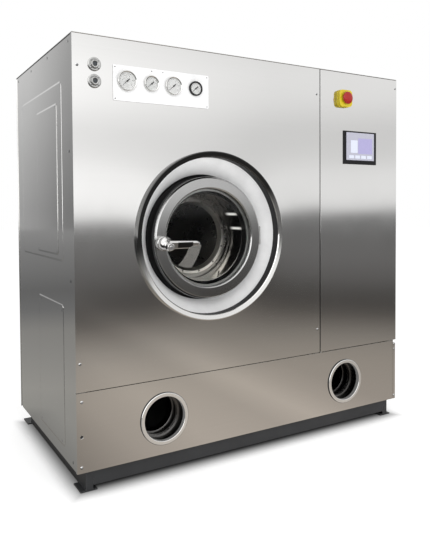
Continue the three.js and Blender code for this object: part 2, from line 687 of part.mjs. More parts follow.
// The side panels stand a little inside the front panels' edge, with a pressed field and, at the
// rear, a cut corner. The right one also has a flange beside the lower panel.
const sideFront = FOLD + EDGE_SEAM;
const sideBack = DEPTH - SHEET - FIT;
const sideOutline = polygon([
  [sideFront, BASE_HEIGHT],
  [sideBack - SIDE_CHAMFER, BASE_HEIGHT],
  [sideBack, BASE_HEIGHT + SIDE_CHAMFER],
  [sideBack, PANEL_TOP],
  [sideFront, PANEL_TOP],
]);
function sideField([y0, y1, z0, z1], x0, x1, corner) {
  return alongX(roundedRectangle(y0, y1, z0, z1, corner), x0, x1);
}
const pressedIn = SIDE_INSET - PRESSING_HEIGHT;
piece(
  machine,
  "left_side_panel",
  alongX(sideOutline, SIDE_INSET, SIDE_INSET + SHEET).add(
    sideField(PRESSING, pressedIn, SIDE_INSET + SHEET, PRESSING_CORNER),
  ),
  brushedSteel(),
);
const flangeTop = LOWER_TOP - FLANGE_DROP;
const flangeOut = WIDTH - SIDE_INSET;
piece(
  machine,
  "right_side_panel",
  alongX(sideOutline, flangeOut - SHEET, flangeOut)
    .add(sideField(PRESSING, flangeOut - SHEET, WIDTH - pressedIn, PRESSING_CORNER))
    .add(block(WIDTH - RIGHT_FLANGE, flangeOut, 0, SHEET, BASE_HEIGHT, flangeTop))
    .add(block(flangeOut - SHEET, flangeOut, 0, sideFront + SHEET, BASE_HEIGHT, flangeTop)),
  brushedSteel(),
);
const coverOnPressing = pressedIn - FIT;
piece(
  machine,
  "left_upper_cover",
  sideField(UPPER_COVER, coverOnPressing - COVER_SHEET, coverOnPressing, COVER_CORNER),
  brushedSteel(),
);
piece(
  machine,
  "left_lower_cover",
  sideField(LOWER_COVER, SIDE_INSET - FIT - COVER_SHEET, SIDE_INSET - FIT, COVER_CORNER),
  brushedSteel(),
);
piece(
  machine,
  "top_cover",
  block(0, WIDTH, 0, DEPTH, HEIGHT - TOP_SHEET, HEIGHT),
  brushedSteel(),
);

// The back panel, with its vent slots and the unions of the supplies.
let backPanel = block(0, WIDTH, DEPTH - SHEET, DEPTH, BASE_HEIGHT, PANEL_TOP);
for (let i = 0; i < VENT_SLOTS; i += 1) {
  const top = HEIGHT - VENT_DROP - i * VENT_PITCH;
  const left = MAIN_WIDTH + VENT_LEFT;
  backPanel = backPanel.subtract(
    block(left, left + VENT_WIDTH, DEPTH - SHEET - CUT, DEPTH + CUT, top - VENT_HEIGHT, top),
  );
}
UNION_RADII.forEach((radius, i) => {
  const place = [MAIN_WIDTH + UNION_LEFT + i * UNION_PITCH, 0, BASE_HEIGHT + UNION_RISE];
  const end = DEPTH + UNION_LENGTH;
  const body = disc(radius, DEPTH - SHEET, end, SMALL_SIDES).translate(place);
  const bore = disc(radius - UNION_BORE, DEPTH, end + CUT, SMALL_SIDES).translate(place);
  backPanel = backPanel.add(body).subtract(bore);
});
piece(machine, "back_panel", backPanel, brushedSteel());

// ---- Recess round the loading door -------------------------------------------------------------

// As in the photograph, the trim ring's middle is a little up and to the right of the door's axis.
const recess = groupAt(machine, RECESS_X, 0, RECESS_Z);
piece(
  recess,
  "door_trim_ring",
  turned(
    [
      [RECESS_RADIUS, TRIM_DEPTH],
      [RECESS_RADIUS, TRIM_LIP_DROP - TRIM_PROUD],
      [RECESS_RADIUS + TRIM_WALL, TRIM_SHOULDER_DROP - TRIM_PROUD],
      [TRIM_RADIUS - TRIM_EDGE, -TRIM_PROUD],
      [TRIM_RADIUS, TRIM_EDGE - TRIM_PROUD],
      [TRIM_RADIUS, -FIT],
      [RECESS_RADIUS + TRIM_WALL, -FIT],
      [RECESS_RADIUS + TRIM_WALL, TRIM_DEPTH],
    ],
    RING_SIDES,
  ),
  polishedSteel(),
);

const surroundFront = TRIM_DEPTH + FIT;
piece(
  doorway,
  "door_surround",
  leaning(
    [
      [RECESS_RADIUS, surroundFront],
      [DOOR_RADIUS, SURROUND_DEPTH],
      [DOOR_RADIUS, TUB_FRONT - FIT],
      [DOOR_RADIUS + SURROUND_WALL, TUB_FRONT - FIT],
      [RECESS_RADIUS + TRIM_WALL, surroundFront + SURROUND_WALL],
      [RECESS_RADIUS + TRIM_WALL, surroundFront],
    ],
    RING_SIDES,
    SURROUND_DEPTH,
    surroundFront,
    SURROUND_ASIDE,
    SURROUND_UP,
  ),
  enamel(),
);

// The rubber mouth seal: a flange on the tub and a folded wall whose lip meets the closed door.
const gasketInner = THROAT_RADIUS + THROAT_WALL + FIT;
const lipOuter = CLAMP_RADIUS + LIP_OVER;
const lipInner = lipOuter - GASKET_WALL;
const flangeFront = TUB_FRONT - FIT - GASKET_FLANGE;
const lipFront = DOOR_BACK + FIT;
const foldY = (lipFront + flangeFront) / 2;
piece(
  doorway,
  "mouth_gasket",
  turned(
    [
      [gasketInner, TUB_FRONT - FIT],
      [DOOR_RADIUS - FIT, TUB_FRONT - FIT],
      [DOOR_RADIUS - FIT, flangeFront],
      [lipOuter, flangeFront],
      [lipOuter - GASKET_FOLD_OUTER, foldY],
      [lipOuter, lipFront],
      [lipInner, lipFront],
      [lipInner - GASKET_FOLD_INNER, foldY],
      [gasketInner, flangeFront],
    ],
    RING_SIDES,
  ),
  rubber(),
);

// ---- Tub ---------------------------------------------------------------------------------------

piece(
  doorway,
  "tub_front",
  turned(
    [
      [THROAT_RADIUS, THROAT_FRONT],
      [THROAT_RADIUS + THROAT_WALL, THROAT_FRONT],
      [THROAT_RADIUS + THROAT_WALL, TUB_FRONT],
      [TUB_OUTER, TUB_FRONT],
      [TUB_OUTER, TUB_FRONT + TUB_WALL],
      [THROAT_RADIUS + THROAT_WALL, TUB_FRONT + TUB_WALL],
      [THROAT_RADIUS + THROAT_WALL, THROAT_BACK],
      [THROAT_RADIUS, THROAT_BACK],
    ],
    RING_SIDES,
  ),
  polishedSteel(),
);
piece(
  doorway,
  "tub_shell",
  turned(
    [
      [TUB_RADIUS, TUB_FRONT + TUB_WALL + FIT],
      [TUB_OUTER, TUB_FRONT + TUB_WALL + FIT],
      [TUB_OUTER, TUB_BACK],
      [SHAFT_RADIUS + TUB_WALL, TUB_BACK],
      [SHAFT_RADIUS + TUB_WALL, TUB_BACK - TUB_WALL],
      [TUB_RADIUS, TUB_BACK - TUB_WALL],
    ],
    RING_SIDES,
  ),
  mattSteel(),
);

// Two saddle plates on a sole plate carry the tub on the left solvent tank.
const soleZ = TANK_TOP + FIT - DOOR_Z;
const saddleSole = [
  [-CRADLE_HALF, soleZ],
  [CRADLE_HALF, soleZ],
  [CRADLE_HALF, -Math.sqrt(TUB_OUTER ** 2 - CRADLE_HALF ** 2)],
  [-CRADLE_HALF, -Math.sqrt(TUB_OUTER ** 2 - CRADLE_HALF ** 2)],
];
const cradleFront = TUB_FRONT + CRADLE_FRONT;
const cradleBack = cradleFront + CRADLE_LENGTH;
const saddle = (y0) => alongY(polygon(saddleSole), y0, y0 + CRADLE_PLATE);
const underTub = disc(TUB_OUTER + FIT, TUB_FRONT, TUB_BACK, RING_SIDES);
piece(
  doorway,
  "tub_cradle",
  saddle(cradleFront)
    .add(saddle(cradleBack - CRADLE_PLATE))
    .add(block(-CRADLE_HALF, CRADLE_HALF, cradleFront, cradleBack, soleZ, soleZ + TUB_WALL))
    .subtract(underTub),
  mattSteel(),
);

// ---- Drum --------------------------------------------------------------------------------------

// The drum is welded up from its front, shell, rear wall and shaft, with three lifters inside.
let drum = turned(
  [
    [0, SHAFT_END],
    [SHAFT_RADIUS, SHAFT_END],
    [SHAFT_RADIUS, DRUM_BACK],
    [DRUM_RADIUS, DRUM_BACK],
    [DRUM_RADIUS, DRUM_FRONT],
    [MOUTH_OUTER - MOUTH_SEAT + FIT, DRUM_FRONT],
    [MOUTH_OUTER - MOUTH_SEAT + FIT, DRUM_FRONT + DRUM_WALL],
    [DRUM_RADIUS - DRUM_WALL, DRUM_FRONT + DRUM_WALL],
    [DRUM_RADIUS - DRUM_WALL, DRUM_BACK - DRUM_WALL],
    [0, DRUM_BACK - DRUM_WALL],
  ],
  RING_SIDES,
);
const lifterShape = polygon([
  [-LIFTER_ROOT / 2, -DRUM_RADIUS],
  [LIFTER_ROOT / 2, -DRUM_RADIUS],
  [LIFTER_TOP / 2, LIFTER_HEIGHT - DRUM_RADIUS],
  [-LIFTER_TOP / 2, LIFTER_HEIGHT - DRUM_RADIUS],
]);
const insideDrum = disc(DRUM_RADIUS - DRUM_WALL / 2, DRUM_FRONT, DRUM_BACK, RING_SIDES);
const lifter = alongY(lifterShape, DRUM_FRONT + DRUM_WALL / 2, DRUM_BACK - DRUM_WALL / 2);
for (let i = 0; i < LIFTERS; i += 1) {
  drum = drum.add(lifter.rotate([0, (360 * i) / LIFTERS, 0]).intersect(insideDrum));
}
piece(doorway, "drum", drum, brushedSteel());

piece(
  doorway,
  "drum_mouth_ring",
  turned(
    [
      [MOUTH_OUTER - MOUTH_FLANGE, MOUTH_FRONT],
      [MOUTH_OUTER, MOUTH_FRONT],
      [MOUTH_OUTER, DRUM_FRONT - FIT],
      [MOUTH_OUTER - MOUTH_SEAT, DRUM_FRONT - FIT],
      [MOUTH_RADIUS + MOUTH_HEM, DRUM_FRONT + MOUTH_CONE],
      [MOUTH_RADIUS, DRUM_FRONT + MOUTH_CONE - MOUTH_HEM_DROP],
    ],
    RING_SIDES,
  ),
  polishedSteel(),
);

// ---- Drive -------------------------------------------------------------------------------------

piece(
  doorway,
  "bearing_housing",
  turned(
    [
      [boreFor(SHAFT_RADIUS, TURNED_SIDES), TUB_BACK + FIT],
      [BEARING_FLANGE, TUB_BACK + FIT],
      [BEARING_FLANGE, TUB_BACK + BEARING_FLANGE_THICK],
      [BEARING_RADIUS, TUB_BACK + 2 * BEARING_FLANGE_THICK],
      [BEARING_RADIUS, BEARING_BACK],
      [boreFor(SHAFT_RADIUS, TURNED_SIDES), BEARING_BACK],
    ],
    TURNED_SIDES,
  ),
  painted(),
);

const beltMiddle = (PULLEY_FRONT + PULLEY_BACK) / 2;
piece(
  doorway,
  "drum_pulley",
  turned(
    [
      [boreFor(SHAFT_RADIUS, PORT_SIDES), PULLEY_FRONT],
      [DRUM_PULLEY_RADIUS, PULLEY_FRONT],
      [DRUM_PULLEY_RADIUS, PULLEY_BACK],
      [DRUM_PULLEY_RADIUS - PULLEY_RIM, PULLEY_BACK],
      [DRUM_PULLEY_RADIUS - PULLEY_RIM, PULLEY_FRONT + PULLEY_WEB],
      [PULLEY_HUB, PULLEY_FRONT + PULLEY_WEB],
      [PULLEY_HUB, PULLEY_BACK],
      [boreFor(SHAFT_RADIUS, PORT_SIDES), PULLEY_BACK],
    ],
    PORT_SIDES,
  ),
  mattSteel(),
);

// The motor stands on the tank; its shaft and pulley turn together.
const drive = groupAt(doorway, MOTOR_X, 0, MOTOR_Z);
const standBottom = soleZ - MOTOR_Z;
const motorFront = MOTOR_BACK - MOTOR_LENGTH;
piece(
  drive,
  "drive_motor",
  turned(
    [
      [0, motorFront],
      [MOTOR_NOSE, motorFront],
      [MOTOR_RADIUS, motorFront + MOTOR_NOSE_LENGTH],
      [MOTOR_RADIUS, MOTOR_BACK - MOTOR_TAIL_LENGTH],
      [MOTOR_TAIL, MOTOR_BACK],
      [boreFor(MOTOR_SHAFT_RADIUS, TURNED_SIDES), MOTOR_BACK],
      [boreFor(MOTOR_SHAFT_RADIUS, TURNED_SIDES), MOTOR_BACK - MOTOR_SHAFT_SEAT - FIT],
      [0, MOTOR_BACK - MOTOR_SHAFT_SEAT - FIT],
    ],
    TURNED_SIDES,
  ).add(
    block(-MOTOR_STAND_WIDTH / 2, MOTOR_STAND_WIDTH / 2, motorFront + MOTOR_STAND_IN,
      MOTOR_BACK - MOTOR_STAND_IN, standBottom, -MOTOR_STAND_TOP),
  ),
  motorPaint(),
);
piece(
  drive,
  "motor_pulley",
  turned(
    [
      [0, MOTOR_BACK - MOTOR_SHAFT_SEAT],
      [MOTOR_SHAFT_RADIUS, MOTOR_BACK - MOTOR_SHAFT_SEAT],
      [MOTOR_SHAFT_RADIUS, PULLEY_FRONT],
      [MOTOR_PULLEY_RADIUS, PULLEY_FRONT],
      [MOTOR_PULLEY_RADIUS, PULLEY_BACK],
      [0, PULLEY_BACK],
    ],
    TURNED_SIDES,
  ),
  mattSteel(),
);

// The belt's outline at a given height over both pulleys: two arcs and the common tangents.
function arc(x, z, radius, from, to, steps) {
  return Array.from({ length: steps + 1 }, (_, i) => {
    const angle = from + ((to - from) * i) / steps;
    return new THREE.Vector2(x + radius * Math.cos(angle), z + radius * Math.sin(angle));
  });
}
function beltOutline(height) {
  const towards = Math.atan2(MOTOR_Z, MOTOR_X);
  const lean = Math.acos((DRUM_PULLEY_RADIUS - MOTOR_PULLEY_RADIUS) / MOTOR_DISTANCE);
  const turn = 2 * Math.PI;
  return [
    ...arc(0, 0, DRUM_PULLEY_RADIUS + height, towards + lean, towards - lean + turn, BELT_STEPS),
    ...arc(MOTOR_X, MOTOR_Z, MOTOR_PULLEY_RADIUS + height, towards - lean + turn,
      towards + lean + turn, SMALL_SIDES),
  ];
}
const beltShape = new THREE.Shape(beltOutline(FIT + BELT_THICK));
beltShape.holes.push(new THREE.Path(beltOutline(FIT)));
piece(
  doorway,
  "drive_belt",
  alongY(beltShape, beltMiddle - BELT_WIDTH / 2, beltMiddle + BELT_WIDTH / 2),
  rubber(),
);

// ---- Loading door ------------------------------------------------------------------------------

const insideRing = WINDOW_RADIUS + WINDOW_BEVEL;
const pocketHalf = HINGE_HALF + FIT;
const leafRoot = CLAMP_RADIUS - LEAF_START;
const doorRing = turned(
  [
    [insideRing, DOOR_FRONT],
    [DOOR_RADIUS - DOOR_BEVEL, DOOR_FRONT],
    [DOOR_RADIUS, DOOR_FRONT + DOOR_BEVEL],
    [DOOR_RADIUS, DOOR_BACK],
    [CLAMP_RADIUS + FIT, DOOR_BACK],
    [CLAMP_RADIUS + FIT, CLAMP_FRONT - FIT],
    [GLASS_RADIUS + FIT, CLAMP_FRONT - FIT],
    [GLASS_RADIUS + FIT, GLASS_FRONT],
    [WINDOW_RADIUS, GLASS_FRONT],
    [WINDOW_RADIUS, DOOR_FRONT + WINDOW_BEVEL],
  ],
  RING_SIDES,
)
  .subtract(block(leafRoot, DOOR_RADIUS + CUT, CLAMP_FRONT - FIT, DOOR_BACK + CUT,
    -pocketHalf, pocketHalf))
  .subtract(
    disc(boreFor(SPINDLE_RADIUS, SMALL_SIDES), DOOR_FRONT - CUT, DOOR_BACK + CUT, SMALL_SIDES)
      .translate([HANDLE_X, 0, HANDLE_Z]),
  );
piece(doorway, "door_ring", doorRing, brushedSteel());

piece(
  doorway,
  "door_glass",
  disc(GLASS_RADIUS, GLASS_FRONT + FIT, GLASS_FRONT + GLASS_THICK, RING_SIDES),
  doorGlass(),
);

// The clamp ring holds the glass and carries the two door knuckles on one leaf.
const knuckleTop = HINGE_HALF;
const knuckleBottom = KNUCKLE_FIXED + FIT;
const pinBore = boreFor(HINGE_PIN_RADIUS, SMALL_SIDES);
function barrel(radius, z0, z1) {
  const shape = turnedUpright(
    [
      [0, z0],
      [radius, z0],
      [radius, z1],
      [0, z1],
    ],
    SMALL_SIDES,
  );
  return shape.translate([HINGE_X, HINGE_Y, 0]);
}
const leaf = block(leafRoot, HINGE_X, CLAMP_FRONT, DOOR_BACK, -HINGE_HALF, HINGE_HALF);
const betweenKnuckles = block(HINGE_X - KNUCKLE_RADIUS - CUT, HINGE_X + KNUCKLE_RADIUS + CUT,
  DOOR_FRONT, TUB_FRONT, -knuckleBottom, knuckleBottom);
const clampRing = turned(
  [
    [CLAMP_RADIUS - CLAMP_WIDTH, CLAMP_FRONT],
    [CLAMP_RADIUS, CLAMP_FRONT],
    [CLAMP_RADIUS, DOOR_BACK],
    [CLAMP_RADIUS - CLAMP_WIDTH, DOOR_BACK],
  ],
  RING_SIDES,
)
  .add(leaf)
  .add(barrel(KNUCKLE_RADIUS, knuckleBottom, knuckleTop))
  .add(barrel(KNUCKLE_RADIUS, -knuckleTop, -knuckleBottom))
  .subtract(betweenKnuckles)
  .subtract(barrel(pinBore, -knuckleTop - CUT, knuckleTop + CUT));
piece(doorway, "glass_clamp_ring", clampRing, mattSteel());

// The fixed bracket stands on the seal's flange and reaches out to the pin.
const footFace = flangeFront - FIT;
const footRight = DOOR_RADIUS - FIT - BRACKET_EDGE;
const footLeft = footRight - BRACKET_FOOT_WIDTH;
const bracketArm = polygon([
  [footLeft, footFace],
  [footLeft, footFace - BRACKET_FOOT],
  [HINGE_X - BRACKET_NECK_LEFT, HINGE_Y + BRACKET_NECK_LEFT_BACK],
  [HINGE_X - KNUCKLE_RADIUS, HINGE_Y],
  [HINGE_X + KNUCKLE_RADIUS, HINGE_Y],
  [HINGE_X + BRACKET_NECK_RIGHT, HINGE_Y + BRACKET_NECK_RIGHT_BACK],
  [footRight, footFace - BRACKET_HEEL],
  [footRight, footFace],
]);
piece(
  doorway,
  "door_hinge_bracket",
  alongZ(bracketArm, -KNUCKLE_FIXED, KNUCKLE_FIXED)
    .add(barrel(KNUCKLE_RADIUS, -KNUCKLE_FIXED, KNUCKLE_FIXED))
    .subtract(barrel(pinBore, -KNUCKLE_FIXED - CUT, KNUCKLE_FIXED + CUT)),
  mattSteel(),
);
piece(
  doorway,
  "door_hinge_pin",
  barrel(HINGE_PIN_RADIUS, -knuckleTop - FIT, knuckleTop + FIT + PIN_HEAD_HEIGHT / 2).add(
    barrel(PIN_HEAD, knuckleTop + FIT, knuckleTop + FIT + PIN_HEAD_HEIGHT),
  ),
  polishedSteel(),
);

// The handle: a turned hub with a lever, and behind the ring the cam on the same spindle.
const grip = groupAt(doorway, HANDLE_X, 0, HANDLE_Z);
const hubFoot = DOOR_FRONT - FIT;
const coneStart = DOOR_FRONT - HUB_COLLAR;
const coneEnd = coneStart - HUB_CONE;
const hubFace = DOOR_FRONT - HANDLE_REACH;
const camFront = DOOR_BACK + CAM_BACK;
const camBack = camFront + CAM_THICK;
const hub = leaning(
  [
    [0, camBack],
    [SPINDLE_RADIUS, camBack],
    [SPINDLE_RADIUS, hubFoot],
    [HUB_RADIUS, hubFoot],
    [HUB_RADIUS, coneStart],
    [BOSS_RADIUS + BOSS_STEP, coneEnd],
    [BOSS_RADIUS, coneEnd],
    [BOSS_RADIUS, hubFace + BOSS_STEP],
    [BOSS_RADIUS - BOSS_STEP, hubFace],
    [0, hubFace],
  ],
  TURNED_SIDES,
  coneStart,
  coneEnd,
  0,
  -BOSS_DROP,
);
const leverShape = new THREE.Shape();
const tipRadius = (LEVER_TIP_TOP + LEVER_TIP_BOTTOM) / 2;
leverShape.moveTo(0, LEVER_TOP);
leverShape.lineTo(0, -LEVER_BOTTOM);
leverShape.lineTo(LEVER_STRAIGHT, -LEVER_BOTTOM);
leverShape.lineTo(LEVER_WAIST, -LEVER_TIP_BOTTOM);
leverShape.absarc(LEVER_LENGTH - tipRadius, LEVER_TIP_TOP - tipRadius, tipRadius,
  -Math.PI / 2, Math.PI / 2, false);
leverShape.closePath();
const leverBack = DOOR_FRONT - LEVER_BACK;
const cam = block(-CAM_LENGTH, 0, camFront, camBack, -CAM_WIDTH / 2, CAM_WIDTH / 2);
piece(
  grip,
  "door_handle",
  hub.add(alongY(leverShape, leverBack - LEVER_THICK, leverBack)).add(cam),
  polishedSteel(),
);

// ---- Gauges ------------------------------------------------------------------------------------

let gaugePlate = alongY(
  roundedRectangle(PLATE_LEFT, PLATE_RIGHT, GAUGE_Z - PLATE_BELOW, GAUGE_Z + PLATE_ABOVE,
    PLATE_CORNER),
  PLATE_FACE,
  -FIT,
  PLATE_ARC_STEPS,
);
GAUGE_XS.forEach((x, i) => {
  const hole = GAUGE_RADII[i] - GAUGE_STEP_IN + FIT;
  gaugePlate = gaugePlate.subtract(throughSheet(hole, x, GAUGE_Z, TURNED_SIDES)
    .translate([0, PLATE_FACE, 0]));
});
piece(machine, "gauge_plate", gaugePlate, enamel());

const bezelFront = PLATE_FACE - FIT - GAUGE_PROUD;
const dialFace = bezelFront + GAUGE_RECESS;
function gaugeCase(radius) {
  const inside = radius - GAUGE_BEZEL;
  const body = radius - GAUGE_STEP_IN;
  return turned(
    [
      [0, dialFace],
      [inside, dialFace],
      [inside, bezelFront + BEZEL_FUNNEL],
      [inside + BEZEL_FUNNEL, bezelFront],
      [radius, bezelFront + BEZEL_FALL],
      [radius, PLATE_FACE - FIT],
      [body, PLATE_FACE - FIT],
      [body, GAUGE_BACK],
      [0, GAUGE_BACK],
    ],
    TURNED_SIDES,
  );
}
function gaugeNeedle(radius) {
  const reach = radius - GAUGE_BEZEL - NEEDLE_MARGIN;
  const blade = polygon([
    [reach, 0],
    [0, NEEDLE_ROOT_HALF],
    [-NEEDLE_TAIL, NEEDLE_TAIL_HALF],
    [-NEEDLE_TAIL, -NEEDLE_TAIL_HALF],
    [0, -NEEDLE_ROOT_HALF],
  ]);
  const back = dialFace - NEEDLE_LIFT;
  return alongY(blade, back - NEEDLE_THICK, back)
    .add(disc(NEEDLE_HUB, back - NEEDLE_THICK - NEEDLE_CAP, dialFace - FIT, SMALL_SIDES))
    .rotate([0, -THREE.MathUtils.radToDeg(NEEDLE_ZERO), 0]);
}
GAUGE_XS.forEach((x, i) => {
  const gauge = groupAt(machine, x, 0, GAUGE_Z);
  const name = `gauge_case_${i + 1}`;
  const bezel = i < STEEL_BEZELS ? polishedSteel() : blackPlastic();
  piece(gauge, name, gaugeCase(GAUGE_RADII[i]), bezel);
  piece(gauge, `gauge_needle_${i + 1}`, gaugeNeedle(GAUGE_RADII[i]), blackPlastic());
});

// ---- Sight glasses -----------------------------------------------------------------------------

SIGHT_DROPS.forEach((drop, i) => {
  const sight = groupAt(machine, SIGHT_LEFT, 0, HEIGHT - drop);
  const flange = -FIT - SIGHT_FLANGE;
  piece(
    sight,
    i === 0 ? "sight_glass_upper" : "sight_glass_lower",
    turned(
      [
        [0, flange],
        [SIGHT_EYE, flange],
        [SIGHT_EYE, -SIGHT_PROUD],
        [SIGHT_COLLAR, -SIGHT_PROUD],
        [SIGHT_COLLAR, flange],
        [SIGHT_RADIUS, flange],
        [SIGHT_RADIUS, -FIT],
        [SIGHT_BARREL, -FIT],
        [SIGHT_BARREL, SIGHT_BACK],
        [0, SIGHT_BACK],
      ],
      SMALL_SIDES,
    ),
    polishedSteel(),
  );
});

// ---- Ports and solvent tanks -------------------------------------------------------------------

// Each tank is a closed box of sheet with a beaded neck, which a ring joins to the lower panel.
const spigotBack = FOLD;
function portRing(name, x) {
  const outer = PORT_RADIUS + PORT_RING_WIDTH;
  const ring = turned(
    [
      [PORT_RADIUS, -PORT_PROUD],
      [outer - PORT_RING_EDGE, -PORT_PROUD],
      [outer, PORT_RING_EDGE - PORT_PROUD],
      [outer, -FIT],
      [PORT_INNER, -FIT],
      [PORT_INNER, spigotBack],
      [PORT_RADIUS, spigotBack],
    ],
    PORT_SIDES,
  );
  piece(groupAt(machine, x, 0, PORT_Z), name, ring, polishedSteel());
}
portRing("port_ring_left", portXs[0]);
portRing("port_ring_right", portXs[1]);

const neckRadius = PORT_RADIUS + NECK_STEP;
const beadRadius = neckRadius - BEAD_HEIGHT;
const neckFront = spigotBack + FIT;
const tankFloor = TRAY_TOP + FIT;
const tankBack = DEPTH - TANK_BACK_GAP;
const bead = (y) => [
  [neckRadius, y],
  [beadRadius, y + BEAD_WIDTH / 2],
  [neckRadius, y + BEAD_WIDTH],
];
function solventTank(name, portX, x0, x1) {
  const neckOuter = neckRadius + TANK_WALL;
  const neck = turned(
    [
      [neckRadius, neckFront],
      ...bead(BEAD_FIRST),
      ...bead(BEAD_SECOND),
      [neckRadius, NECK_DEPTH],
      [neckOuter, NECK_DEPTH],
      [neckOuter, neckFront],
    ],
    PORT_SIDES,
  ).translate([portX, 0, PORT_Z]);
  const bore = disc(neckOuter - TANK_WALL / 2, neckFront, NECK_DEPTH, PORT_SIDES)
    .translate([portX, 0, PORT_Z]);
  const hollow = block(x0 + TANK_WALL, x1 - TANK_WALL, TANK_FRONT + TANK_WALL,
    tankBack - TANK_WALL, tankFloor + TANK_WALL, TANK_TOP - TANK_WALL);
  const box = block(x0, x1, TANK_FRONT, tankBack, tankFloor, TANK_TOP).subtract(hollow);
  piece(machine, name, box.subtract(bore).add(neck), mattSteel());
}
const tankLeft = rimLeft + TRAY_SHEET + TANK_SIDE_GAP;
const tankGap = POST / 2 + TANK_SIDE_GAP;
solventTank("solvent_tank_left", portXs[0], tankLeft, MAIN_WIDTH - tankGap);
solventTank("solvent_tank_right", portXs[1], MAIN_WIDTH + tankGap, WIDTH - tankLeft);

// ---- Still and pump ----------------------------------------------------------------------------

const stillX = (MAIN_WIDTH + tankGap + WIDTH - tankLeft) / 2;
const stillBase = TANK_TOP + FIT;
const stillTop = stillBase + STILL_HEIGHT;
const neckFoot = stillTop - STILL_NECK_LENGTH;
const shoulder = neckFoot - STILL_SHOULDER;
const stillSeam = stillBase + STILL_SEAM;
piece(
  groupAt(machine, stillX, DEPTH - STILL_BACK, 0),
  "distillation_still",
  turnedUpright(
    [
      [0, stillBase],
      [STILL_RADIUS, stillBase],
      [STILL_RADIUS, stillSeam],
      [STILL_RADIUS + STILL_FLANGE, stillSeam],
      [STILL_RADIUS + STILL_FLANGE, stillSeam + STILL_FLANGE],
      [STILL_RADIUS, stillSeam + STILL_FLANGE],
      [STILL_RADIUS, shoulder],
      [STILL_NECK, neckFoot],
      [STILL_NECK, stillTop],
      [STILL_NECK - STILL_WALL, stillTop],
      [STILL_NECK - STILL_WALL, neckFoot - STILL_WALL],
      [STILL_RADIUS - STILL_WALL, shoulder - STILL_WALL],
      [STILL_RADIUS - STILL_WALL, stillBase + STILL_WALL],
      [0, stillBase + STILL_WALL],
    ],
    TURNED_SIDES,
  ),
  mattSteel(),
);

const pumpZ = TANK_TOP + FIT + PUMP_VOLUTE + FOOT_THICK;
piece(
  groupAt(machine, MAIN_WIDTH - PUMP_SEAM_GAP, PUMP_FRONT, pumpZ),
  "solvent_pump",
  turned(
    [
      [0, 0],
      [PUMP_INLET, 0],
      [PUMP_VOLUTE, PUMP_NOSE],
      [PUMP_VOLUTE, PUMP_VOLUTE_BACK],
      [PUMP_RADIUS, PUMP_SHOULDER],
      [PUMP_RADIUS, PUMP_LENGTH],
      [0, PUMP_LENGTH],
    ],
    TURNED_SIDES,
  ).add(
    block(-PUMP_FOOT / 2, PUMP_FOOT / 2, PUMP_FOOT_IN, PUMP_LENGTH - PUMP_FOOT_IN,
      -PUMP_VOLUTE - FOOT_THICK, -PUMP_FOOT_TOP),
  ),
  motorPaint(),
);

// ---- Control door ------------------------------------------------------------------------------

const rodX = seamRight + SHEET + ROD_IN;
const screenLeft = MAIN_WIDTH + SCREEN_FROM_SEAM;
const screenTop = HEIGHT - SCREEN_DROP;
const screenBox = (inset, y0, y1) =>
  block(screenLeft + inset, screenLeft + SCREEN_WIDTH - inset, y0, y1,
    screenTop - SCREEN_HEIGHT + inset, screenTop - inset);
const stopX = MAIN_WIDTH + STOP_FROM_SEAM;
const stopZ = HEIGHT - STOP_DROP;
const rod = (radius, z0, z1) =>
  turnedUpright(
    [
      [0, z0],
      [radius, z0],
      [radius, z1],
      [0, z1],
    ],
    SMALL_SIDES,
  ).translate([rodX, ROD_BACK, 0]);
piece(
  machine,
  "control_door",
  foldedPanel(seamRight, WIDTH, upperBottom, PANEL_TOP)
    .subtract(screenBox(SCREEN_LIP - FIT, -CUT, FOLD))
    .subtract(throughSheet(STOP_BARREL + FIT, stopX, stopZ, SMALL_SIDES))
    .subtract(rod(boreFor(ROD_RADIUS, SMALL_SIDES), LOWER_TOP, HEIGHT)),
  brushedSteel(),
);
piece(
  machine,
  "control_hinge_rod",
  rod(ROD_RADIUS, lowerTop + FIT, HEIGHT - TOP_SHEET - FIT),
  polishedSteel(),
);

const screenFace = -FIT - SCREEN_PROUD;
const display = block(screenLeft + GLASS_LEFT, screenLeft + SCREEN_WIDTH - GLASS_RIGHT,
  screenFace - CUT, screenFace + GLASS_SINK,
  screenTop - SCREEN_HEIGHT + GLASS_BOTTOM, screenTop - GLASS_TOP);
piece(
  machine,
  "touch_panel",
  screenBox(0, screenFace, -FIT)
    .add(screenBox(SCREEN_LIP, screenFace + GLASS_SINK, SCREEN_BACK))
    .subtract(display),
  blackPlastic(),
);

// The emergency stop: a yellow housing on the door, a stem that slides in it and a turning cap.
const stop = groupAt(machine, stopX, 0, stopZ);
const stopSquare = (inset, y0, y1) => {
  const half = STOP_HALF - inset;
  return alongY(roundedRectangle(-half, half, -half, half, STOP_CORNER - inset), y0, y1);
};
const grooveFront = -FIT - STOP_FLANGE;
const bodyBack = grooveFront - STOP_GROOVE;
const stopFace = -FIT - STOP_HEIGHT;
piece(
  stop,
  "stop_housing",
  stopSquare(0, grooveFront, -FIT)
    .add(stopSquare(STOP_GROOVE_IN, stopFace + STOP_GROOVE, -FIT - STOP_GROOVE))
    .add(stopSquare(STOP_BODY_IN, stopFace, bodyBack))
    .add(disc(STOP_BARREL, stopFace + STOP_GROOVE, STOP_BARREL_BACK, SMALL_SIDES))
    .subtract(disc(boreFor(STOP_STEM, SMALL_SIDES), stopFace - CUT, STOP_BARREL_BACK + CUT,
      SMALL_SIDES)),
  yellowPlastic(),
);
const capBack = stopFace - STOP_CAP_GAP;
const stemFront = capBack + FIT;
const noseFront = stemFront - STOP_NOSE_LENGTH;
